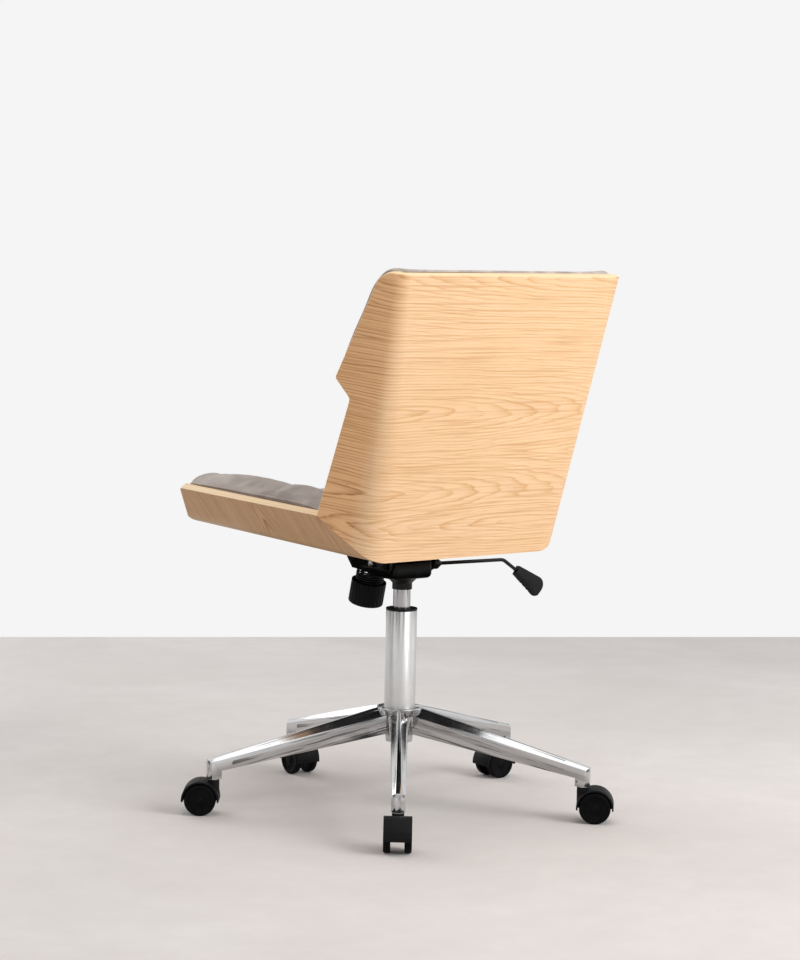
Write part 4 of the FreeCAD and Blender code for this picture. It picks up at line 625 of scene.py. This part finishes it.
def rounded(corners):
    """Points round a closed outline, the same number on each corner and each side."""
    points = [Vector((x, y)) for x, y, radius in corners]
    count = len(points)
    halves = []
    reaches = []
    for i in range(count):
        back = points[i - 1] - points[i]
        ahead = points[(i + 1) % count] - points[i]
        halves.append(back.angle(ahead) / 2)
        reaches.append(corners[i][2] / math.tan(halves[i]))
    fits = [1.0] * count
    for i in range(count):
        j = (i + 1) % count
        room = ROOM_USED * (points[i] - points[j]).length
        if reaches[i] + reaches[j] > room:
            share = room / (reaches[i] + reaches[j])
            fits[i] = min(fits[i], share)
            fits[j] = min(fits[j], share)
    out = []
    ends = []
    for i in range(count):
        reach = max(reaches[i] * fits[i], LEAST_REACH)
        radius = reach * math.tan(halves[i])
        back = (points[i - 1] - points[i]).normalized()
        ahead = (points[(i + 1) % count] - points[i]).normalized()
        start = points[i] + back * reach
        end = points[i] + ahead * reach
        centre = points[i] + (back + ahead).normalized() * (radius / math.sin(halves[i]))
        ends.append((start, end, centre, radius))
    for i, (start, end, centre, radius) in enumerate(ends):
        first = start - centre
        last = end - centre
        for step in range(ARC_STEPS[i]):
            out.append(centre + first.slerp(last, step / ARC_STEPS[i]).normalized() * radius)
        after = ends[(i + 1) % count][0]
        for step in range(SIDE_STEPS[i]):
            out.append(end.lerp(after, step / SIDE_STEPS[i]))
    return out


PAD = 36.8
PAD_SIDE = 1.17
PAD_CROWN = 4.0
PAD_CROWN_RADIUS = 160.0
PAD_EDGE = 13.0
PAD_VALLEY = 26.0
RIM = -3.0
TRAY_LIFT = 7.0
BACK_LIFT = 1.5
MITRE_LIFT = 14.0


def pad_outline(section, corner, angle, length, radius, outs, fills, lift, rim=RIM):
    """A cushion's outline in its section: on the sheet, up its flanks and round their edge.
    fills are the shares of the full thickness in the middle and at the flanks, lift is how far
    the pad stands past the flank's edge, and rim how far past it the pad meets the sheet."""
    thick = (PAD * fills[0], PAD * PAD_SIDE * fills[1])
    low_middle = section.depth(outs[0], PLY + PAD_GAP)
    low_side = section.depth(outs[1], PLY + PAD_GAP)
    top_middle = section.depth(outs[0], PLY + PAD_GAP + thick[0])
    top_side = section.depth(outs[1], PLY + PAD_GAP + thick[1])
    crown = PAD_CROWN * fills[0]
    edge = min(PAD_EDGE, thick[1] * 0.42)
    outer = [(*side_point(corner, angle, low_side, length + rim), edge * 0.35),
             (*offset_corner(corner, angle, low_middle, low_side), radius - PLY + 2)]
    bend_along = (top_middle - top_side * math.sin(angle)) / math.cos(angle)
    tip = max(length + lift * fills[1], bend_along + 5)
    inner = [(*side_point(corner, angle, top_side, tip), edge),
             (*offset_corner(corner, angle, top_middle, top_side), PAD_VALLEY),
             (corner * 0.36, top_middle + crown, PAD_CROWN_RADIUS)]
    mirrored = [(-x, y, r) for x, y, r in reversed(outer)]
    top = [(-x, y, r) for x, y, r in inner] + [(x, y, r) for x, y, r in reversed(inner)]
    return np.array([section.point(*p) for p in rounded(outer + mirrored + top)])


mitre_section = Section(HEEL, Vector((0, -math.sin(MITRE_LEAN), math.cos(MITRE_LEAN))))
FLANGE_EDGE_FRONT = FRONT_CORNER + FLANGE_UP * FLANGE_FRONT
FLANGE_EDGE_REAR = (HEEL_CORNER + Vector((math.sin(FLARE_REAR), 0, 0)) * FLANGE_REAR
                    + mitre_section.inward * (math.cos(FLARE_REAR) * FLANGE_REAR))


def tray_station(y, slant, *fills):
    """The seat pad's section at y, leaning back by slant degrees."""
    slope = math.radians(slant)
    inward = Vector((0, math.sin(slope), math.cos(slope)))
    section = Section(Vector((0, y, tray_bottom(y))), inward)
    corner = section.crossing(FRONT_CORNER, HEEL_CORNER)
    edge = section.crossing(FLANGE_EDGE_FRONT, FLANGE_EDGE_REAR)
    share = (FRONT_CORNER - corner).length / (FRONT_CORNER - HEEL_CORNER).length
    radius = TRAY_RADIUS + (HEEL_RADIUS - TRAY_RADIUS) * share
    return (section, corner.x, section.angle(TRAY_SIDE_OUT), (edge - corner).length, radius,
            (TRAY_OUT, TRAY_SIDE_OUT), fills, TRAY_LIFT)


def mitre_station(off_mitre, out, side_out, *fills):
    """A pad's section beside the mitre between the two shells."""
    section = Section(HEEL + mitre_section.normal * off_mitre, mitre_section.inward)
    return (section, TRAY_BEND, FLARE_REAR, FLANGE_REAR, HEEL_RADIUS,
            (out, side_out), fills, MITRE_LIFT)


WING_NOTCH = 278.0
WING_MARKS = [(57.0, 97.0), (250.0, 63.5), (WING_NOTCH, 90.0), (BACK_HEIGHT - 25, 43.0),
              (BACK_HEIGHT, 25.0), (BACK_HEIGHT + 4, 17.0)]


def wing_length(up):
    """How far the wing goes past the bend, at a height along the back."""
    for (low, first), (high, second) in zip(WING_MARKS, WING_MARKS[1:]):
        if up <= high:
            return first + (second - first) * (up - low) / (high - low)
    return WING_MARKS[-1][1]


def back_station(up, *fills):
    """The back pad's section, up along the panel from the heel."""
    section = Section(HEEL + PANEL_UP * up, -PANEL_OUT)
    bend = TRAY_BEND + (BACK_BEND_TOP - TRAY_BEND) * up / BACK_HEIGHT
    radius = HEEL_RADIUS + (CREST_RADIUS - HEEL_RADIUS) * up / BACK_HEIGHT
    rim = max(RIM, min(4.0, (up - WING_NOTCH) * 0.07))
    return (section, bend, section.angle(WING_OUT), wing_length(up), radius,
            (PANEL_OUT, WING_OUT), fills, BACK_LIFT, rim)


ROW_SPACING = 6.0


def skinned(stations):
    """Rows of points through the stations, evenly spaced, turning smoothly at each."""
    rows = [pad_outline(*station) for station in stations]
    out = []
    for i in range(len(rows) - 1):
        before = rows[max(i - 1, 0)]
        first = rows[i]
        second = rows[i + 1]
        after = rows[min(i + 2, len(rows) - 1)]
        length = np.linalg.norm(second - first, axis=1).mean()
        length_before = max(np.linalg.norm(first - before, axis=1).mean(), 1e-6)
        length_after = max(np.linalg.norm(after - second, axis=1).mean(), 1e-6)
        chord = second - first
        leave = arrive = chord
        if i > 0:
            leave = (chord / length + (first - before) / length_before) * length / 2
        if i < len(rows) - 2:
            arrive = (chord / length + (after - second) / length_after) * (length / 2)
        steps = max(1, round(length / ROW_SPACING))
        for step in range(steps):
            s = step / steps
            out.append(first * (1 + 2 * s) * (1 - s) ** 2 + leave * s * (1 - s) ** 2
                       + second * s * s * (3 - 2 * s) + arrive * s * s * (s - 1))
    out.append(rows[-1])
    return out


def closed_skin(name, rows):
    """A solid over the rows of points, closed at both ends."""
    count = len(rows[0])
    end = (len(rows) - 1) * count
    vertices = np.concatenate(rows) * MM
    faces = []
    for r in range(len(rows) - 1):
        for k in range(count):
            j = (k + 1) % count
            faces.append((r * count + k, r * count + j, (r + 1) * count + j, (r + 1) * count + k))
    faces.append(tuple(range(count)))
    faces.append(tuple(range(end + count - 1, end - 1, -1)))
    item = made(name, vertices, faces)
    shape = bmesh.new()
    shape.from_mesh(item.data)
    bmesh.ops.recalc_face_normals(shape, faces=shape.faces)
    shape.to_mesh(item.data)
    shape.free()
    return item


SWELL_FRAMES = 20
HELD = 0.15
LEAST = 1e-9
VOXEL = 5.0 * MM


def swollen(item, sheet, cap):
    """Pressure from within, with the face on the sheet held: the cover swells and settles,
    by no more than cap."""
    mesh = item.data
    held = item.vertex_groups.new(name="held")
    loose = np.ones(len(mesh.vertices))
    for v in mesh.vertices:
        depth = sheet.flat(v.co / MM).z
        near_end = abs((v.co / MM - HEEL).dot(mitre_section.normal))
        share = min(1.0, max(0.0, (depth - PLY - 5.0) / 12.0))
        share = min(share, min(1.0, max(0.0, (near_end - 3.0) / 14.0)))
        loose[v.index] = share
        held.add([v.index], 1.0 if share < HELD else 0.0, "REPLACE")
    cloth = item.modifiers.new("swell", "CLOTH")
    cloth.settings.quality = 5
    cloth.settings.mass = 0.3
    cloth.settings.tension_stiffness = 12.0
    cloth.settings.compression_stiffness = 8.0
    cloth.settings.shear_stiffness = 4.0
    cloth.settings.bending_stiffness = 0.6
    cloth.settings.use_pressure = True
    cloth.settings.uniform_pressure_force = 4.0
    cloth.settings.vertex_group_mass = "held"
    cloth.settings.shrink_min = -0.012
    cloth.settings.effector_weights.gravity = 0.0
    cloth.point_cache.frame_start = 1
    cloth.point_cache.frame_end = SWELL_FRAMES
    start = np.array([v.co for v in mesh.vertices])
    for number in range(1, SWELL_FRAMES + 1):
        bpy.context.scene.frame_set(number)
    shape = item.evaluated_get(bpy.context.evaluated_depsgraph_get()).to_mesh()
    end = np.array([v.co for v in shape.vertices])
    item.modifiers.remove(cloth)
    bpy.context.scene.frame_set(1)
    move = end - start
    length = np.linalg.norm(move, axis=1)
    limit = cap * MM * loose
    kept = limit * np.tanh(length / np.maximum(limit, LEAST)) / np.maximum(length, LEAST)
    share = np.where(length > LEAST, kept, 0.0)
    mesh.vertices.foreach_set("co", (start + move * share[:, None]).ravel())
    mesh.update()


def relaxed(item):
    modifier(item, "SMOOTH", factor=0.5, iterations=2)
    apply_all(item)


def cushion(name, node, stations, sheet, cap):
    """A pad over the node's place. Gives the item and the rows of its outline."""
    rows = skinned(stations)
    item = closed_skin(name, rows)
    modifier(item, "REMESH", mode="VOXEL", voxel_size=VOXEL, use_smooth_shade=True)
    apply_all(item)
    relaxed(item)
    swollen(item, sheet, cap)
    relaxed(item)
    modifier(item, "SUBSURF", levels=1, render_levels=1)
    apply_all(item)
    item.data.polygons.foreach_set("use_smooth", [True] * len(item.data.polygons))
    paint(item, VELVET)
    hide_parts(node)
    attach(item, "seat")
    return item, rows


CORD_SIDES = 10
CORD_RADIUS = 0.0018
CORD_STEP = 0.005
CORD_STAND = 0.0004


def cord(name, points):
    """A round cord of velvet through the points."""
    vertices = []
    faces = []
    normal = None
    for i, p in enumerate(points):
        before = points[max(i - 1, 0)]
        after = points[min(i + 1, len(points) - 1)]
        along = (after - before).normalized()
        if normal is None:
            normal = along.orthogonal().normalized()
        normal = (normal - along * normal.dot(along)).normalized()
        other = along.cross(normal)
        for k in range(CORD_SIDES):
            turn = 2 * math.pi * k / CORD_SIDES
            around = normal * math.cos(turn) + other * math.sin(turn)
            vertices.append(p + around * CORD_RADIUS)
    for first in range(0, len(vertices) - CORD_SIDES, CORD_SIDES):
        second = first + CORD_SIDES
        for k in range(CORD_SIDES):
            m = (k + 1) % CORD_SIDES
            faces.append((first + k, second + k, second + m, first + m))
    faces.append(tuple(range(CORD_SIDES)))
    faces.append(tuple(range(len(vertices) - 1, len(vertices) - CORD_SIDES - 1, -1)))
    item = made(name, vertices, faces)
    paint(item, VELVET)
    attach(item, "seat")


# Shells.

veneered("back_shell", "back_veneer", BACK_SHEET, BACK_VENEER)
veneered("seat_shell", "seat_veneer", TRAY_SHEET, SEAT_VENEER)


# Cushions on them.

seat_stations = [
    mitre_station(0.9, TRAY_OUT, TRAY_SIDE_OUT, 0.95, 1.16),
    tray_station(20, -8, 1.0, 1.02),
    tray_station(-60, 0, 1.0, 0.97),
    tray_station(-150, 5, 1.0, 0.98),
    tray_station(95 - TRAY_FRONT, 15, 1.0, 0.94),
    tray_station(50 - TRAY_FRONT, 26, 0.95, 0.94),
    tray_station(22 - TRAY_FRONT, 32, 0.89, 0.94),
    tray_station(3 - TRAY_FRONT, 34, 0.78, 0.97),
    tray_station(-10 - TRAY_FRONT, 34, 0.50, 0.86)]
back_stations = [
    mitre_station(-0.9, PANEL_OUT, WING_OUT, 0.95, 1.16),
    back_station(80, 0.98, 0.95),
    back_station(120, 1.0, 0.85),
    back_station(250, 1.05, 0.75),
    back_station(266, 1.04, 0.75),
    back_station(WING_NOTCH, 1.03, 0.75),
    back_station(292, 1.02, 0.75),
    back_station(335, 0.98, 0.73),
    back_station(BACK_HEIGHT - 70, 0.95, 0.7),
    back_station(BACK_HEIGHT - 26, 0.85, 0.55),
    back_station(BACK_HEIGHT - 8, 0.7, 0.36),
    back_station(BACK_HEIGHT + 3, 0.45, 0.2)]
seat_pad, seat_rows = cushion("seat_pad", "seat_cushion", seat_stations, TRAY_SHEET, 3.5)
back_pad, back_rows = cushion("back_pad", "back_cushion", back_stations, BACK_SHEET, 5.0)


def smoothed(line):
    for turn in range(3):
        inner = [(line[i - 1] + line[i] * 2 + line[i + 1]) / 4 for i in range(1, len(line) - 1)]
        line = [line[0]] + inner + [line[-1]]
    return line


def on_surface(line, surface, stand):
    """The line drawn on to the surface, standing out from it by stand."""
    out = []
    for p in line:
        near, normal, index, distance = surface.find_nearest(Vector(p))
        out.append(near + normal * stand)
    return smoothed(out)


def spaced(points):
    """The line's points again, a cord's step apart."""
    points = [Vector(p) for p in points]
    out = [points[0]]
    to_go = CORD_STEP
    for first, second in zip(points, points[1:]):
        length = (second - first).length
        while length > to_go:
            first = first.lerp(second, to_go / length)
            out.append(first)
            length = (second - first).length
            to_go = CORD_STEP
        to_go -= length
    if (points[-1] - out[-1]).length > CORD_STEP * 0.3:
        out.append(points[-1])
    return out


# The cord follows a row's first point on the sitter's left, and this one on the right, most of
# the way round the outline's fourth corner.
RIGHT_RIM = sum(ARC_STEPS[:3]) + sum(SIDE_STEPS[:3]) + round(ARC_STEPS[3] * 0.8)


def welt(name, rows, item, drawn_on):
    """The corded seam just off the plywood: up one side, across the free end, down the other."""
    shape = bmesh.new()
    shape.from_mesh(item.data)
    surface = BVHTree.FromBMesh(shape)
    shape.free()
    up = [row[0] * MM for row in rows[:-1]]
    down = [row[RIGHT_RIM] * MM for row in reversed(rows[:-1])]
    last = rows[-1]
    over = [last[k % len(last)] * MM for k in range(RIGHT_RIM, len(last) + 1)]
    line = up + on_surface(reversed(over), surface, 0.0) + down
    if drawn_on:
        line = on_surface(spaced(line), surface, CORD_STAND)
    cord(name, smoothed(spaced(line)))


welt("seat_welt", seat_rows, seat_pad, True)
welt("back_welt", back_rows, back_pad, False)


# Base, column, mechanism, castors.

eased("star_base", "star_base_cast", ALUMINIUM, 0.9 * MM, 3, 24)
eased("column_outer_tube", "column_tube", COLUMN, 0.4 * MM)
eased("column_guide_sleeve", "column_sleeve", NYLON, 0.5 * MM)
eased("pressure_tube", "lift_tube", CHROME, 0.3 * MM)
eased("tilt_housing", "tilt_pan", POWDER, 0.5 * MM)
eased("seat_bracket", "seat_plate", POWDER, 0.4 * MM)
eased("tension_knob", "knob", KNOB, 0.5 * MM)
eased("tension_spring", "coil", SPRING, 0)
eased("lever_rod", "lever_wire", POWDER, 0.2 * MM)
eased("lever_bush", "lever_socket", NYLON, 0.3 * MM)
eased("lever_grip", "grip", NYLON, 0.4 * MM)
for node, name in (("tilt_pivot_pin", "pivot_pin"), ("bracket_screws", "plate_screws"),
                   ("tension_bolt", "front_bolt"), ("spring_washer", "coil_washer"),
                   ("spring_cup", "coil_cup"), ("retaining_clip", "rod_clip")):
    eased(node, name, ZINC, 0.25 * MM)
for letter in "abcde":
    eased("castor_%s_hood" % letter, "hood_%s" % letter, HOOD, 1.2 * MM, 3)
    for side in ("left", "right"):
        eased("castor_%s_wheel_%s" % (letter, side), "wheel_%s_%s" % (letter, side), WHEEL,
              0.3 * MM)
    eased("castor_%s_stem" % letter, "stem_%s" % letter, ZINC, 0.2 * MM)
    eased("castor_%s_axle" % letter, "axle_%s" % letter, ZINC, 0.2 * MM)
for material, nodes in ((ZINC, ("thrust_bearing", "piston_rod", "release_pin", "tee_nuts")),
                        (NYLON, ("piston", "cylinder_end_guide", "pivot_bushes")),
                        (PLY_EDGE, ("mitre_dowels", "seat_board", "back_board"))):
    for node in nodes:
        paint(NODES[node], material)


# Floor, backdrop, light, camera.

def seen_plain(nodes, links, surface, colour):
    """The camera, and reflections, see a plain colour in place of the surface's own light."""
    path = nodes.new("ShaderNodeLightPath")
    seen = path.outputs["Is Camera Ray"]
    for other in ("Is Glossy Ray", "Is Transmission Ray"):
        total = nodes.new("ShaderNodeMath")
        total.operation = "ADD"
        total.use_clamp = True
        links.new(seen, total.inputs[0])
        links.new(path.outputs[other], total.inputs[1])
        seen = total.outputs[0]
    plain = nodes.new("ShaderNodeBackground")
    plain.inputs["Color"].default_value = colour
    mixer = nodes.new("ShaderNodeMixShader")
    links.new(seen, mixer.inputs[0])
    links.new(surface, mixer.inputs[1])
    links.new(plain.outputs[0], mixer.inputs[2])
    return mixer.outputs[0]


CAMERA_AT = Vector((2.54325038, 3.15188475, 0.905))
CAMERA_RIGHT = Vector((-0.78039332, 0.62493534, 0.02102561))
CAMERA_UP = Vector((-0.04173625, -0.08561001, 0.99545417))
CAMERA_AHEAD = Vector((-0.6238945, -0.77596826, -0.09289193))
FOCAL = 2543.0
PICTURE_WIDTH = 800.0
PICTURE_HEIGHT = 960.0
SENSOR = 36.0
FLOOR_EDGE = 637.0
FLOOR_DEPTH = 9.0

ahead = Vector((CAMERA_AHEAD.x, CAMERA_AHEAD.y, 0)).normalized()
side = Vector((ahead.y, -ahead.x, 0))


def floor_under(x, y):
    """The point of the floor that lies at a place in the picture."""
    ray = (CAMERA_AHEAD * FOCAL + CAMERA_RIGHT * (x - PICTURE_WIDTH / 2)
           - CAMERA_UP * (y - PICTURE_HEIGHT / 2))
    return CAMERA_AT - ray * (CAMERA_AT.z / ray.z)


far_left = floor_under(-900.0, FLOOR_EDGE)
far_right = floor_under(1700.0, FLOOR_EDGE)
corners = [far_left, far_right, far_right - ahead * FLOOR_DEPTH, far_left - ahead * FLOOR_DEPTH]
floor = made("floor", corners, [(0, 3, 2, 1)], False)
ft = Tree("floor_screed")
at = ft.place()
cloud = ft.noise(at, 1.6, 5.0, 0.6, 0.6)
grit = ft.noise(at, 14.0, 5.0, 0.65)
tone = ft.mix(ft.level(cloud, 0.3, 0.7), srgb(216, 210, 207), srgb(228, 223, 220))
tone = ft.mix(ft.level(grit, 0.35, 0.7, 0.0, 0.35), tone, srgb(209, 203, 200))
ft.finish(Base_Color=tone, Roughness=0.72, Specular_IOR_Level=0.25)
paint(floor, ft.material)

world = bpy.data.worlds.new("studio")
bpy.context.scene.world = world
world.use_nodes = True
world_nodes = world.node_tree.nodes
world_links = world.node_tree.links
background = world_nodes["Background"]
background.inputs["Color"].default_value = (1.0, 1.0, 1.0, 1.0)
background.inputs["Strength"].default_value = 0.42
seen = seen_plain(world_nodes, world_links, background.outputs[0], srgb(245, 245, 245))
world_links.new(seen, world_nodes["World Output"].inputs["Surface"])


def placed(forth, aside, up):
    """A place given from the chair: forth away from the camera, aside to its right, and up."""
    return ahead * forth + side * aside + Vector((0, 0, up))


def aimed(item, at, target, axis):
    """Puts the item there and turns its axis to the target."""
    item.location = at
    item.rotation_mode = "QUATERNION"
    item.rotation_quaternion = (target - at).to_track_quat(axis, "Y")


def lamp(name, at, target, width, depth, power):
    light = bpy.data.lights.new(name, "AREA")
    light.shape = "RECTANGLE"
    light.size = width
    light.size_y = depth
    light.energy = power
    item = bpy.data.objects.new(name, light)
    aimed(item, at, target, "-Z")
    bpy.context.scene.collection.objects.link(item)


lamp("key", placed(-1.5, 2.8, 1.9), placed(0, 0, 0.5), 1.9, 1.9, 79.0)
lamp("rim", placed(2.0, -2.6, 2.3), placed(0, 0, 0.4), 2.6, 2.2, 37.0)
lamp("top", placed(0, 0.4, 3.0), placed(0, 0, 0.3), 2.6, 2.6, 25.0)
lamp("fill", placed(-2.6, -2.2, 1.2), placed(0, 0, 0.5), 1.6, 1.6, 7.0)


def card(name, at, target, width, height, grey):
    """A card that only polished metal sees, as a studio sets them round chrome: it paints dark
    reflections and casts no light or shadow. The one under the seat stands in for the seat's
    shaded underside, as painted shade.
    """
    x = width / 2
    y = height / 2
    item = made(name, [(-x, -y, 0), (x, -y, 0), (x, y, 0), (-x, y, 0)], [(0, 1, 2, 3)], False)
    aimed(item, at, target, "Z")
    t = Tree(name)
    colour = srgb(grey, grey, grey + 2)
    paint(item, t.finish(Base_Color=colour, Roughness=0.9, Specular_IOR_Level=0.0))
    item.visible_camera = False
    item.visible_diffuse = False
    item.visible_shadow = False


card("dark_left", placed(-1.2, -2.2, 0.7), placed(0, 0, 0.4), 0.9, 1.4, 70)
card("dark_right", placed(-0.4, 2.3, 0.6), placed(0, 0, 0.4), 0.6, 1.2, 80)
card("dark_ahead", placed(2.4, 0.4, 0.5), placed(0, 0, 0.4), 1.2, 0.9, 90)
# This card lies just under the seat. It is painted shade: a dark sheet that only the metal's
# reflections see, in place of the seat's shaded underside.
card("seat_shade_card", Vector((0, -0.05, 0.372)), Vector((0, -0.05, 0)), 0.36, 0.46, 54)
card("dark_behind", placed(-2.6, 0.1, 1.6), placed(0, 0, 0.3), 0.5, 1.0, 60)

camera = bpy.data.objects.new("camera", bpy.data.cameras.new("camera"))
bpy.context.scene.collection.objects.link(camera)
columns = (CAMERA_RIGHT, CAMERA_UP, -CAMERA_AHEAD, CAMERA_AT)
rows = [[column[row] for column in columns] for row in range(3)]
camera.matrix_world = Matrix(rows + [[0, 0, 0, 1]])
camera.data.sensor_fit = "VERTICAL"
camera.data.sensor_height = SENSOR
camera.data.lens = FOCAL * SENSOR / PICTURE_HEIGHT
camera.data.clip_end = 100.0
bpy.context.scene.camera = camera
bpy.context.scene.view_settings.view_transform = "Standard"
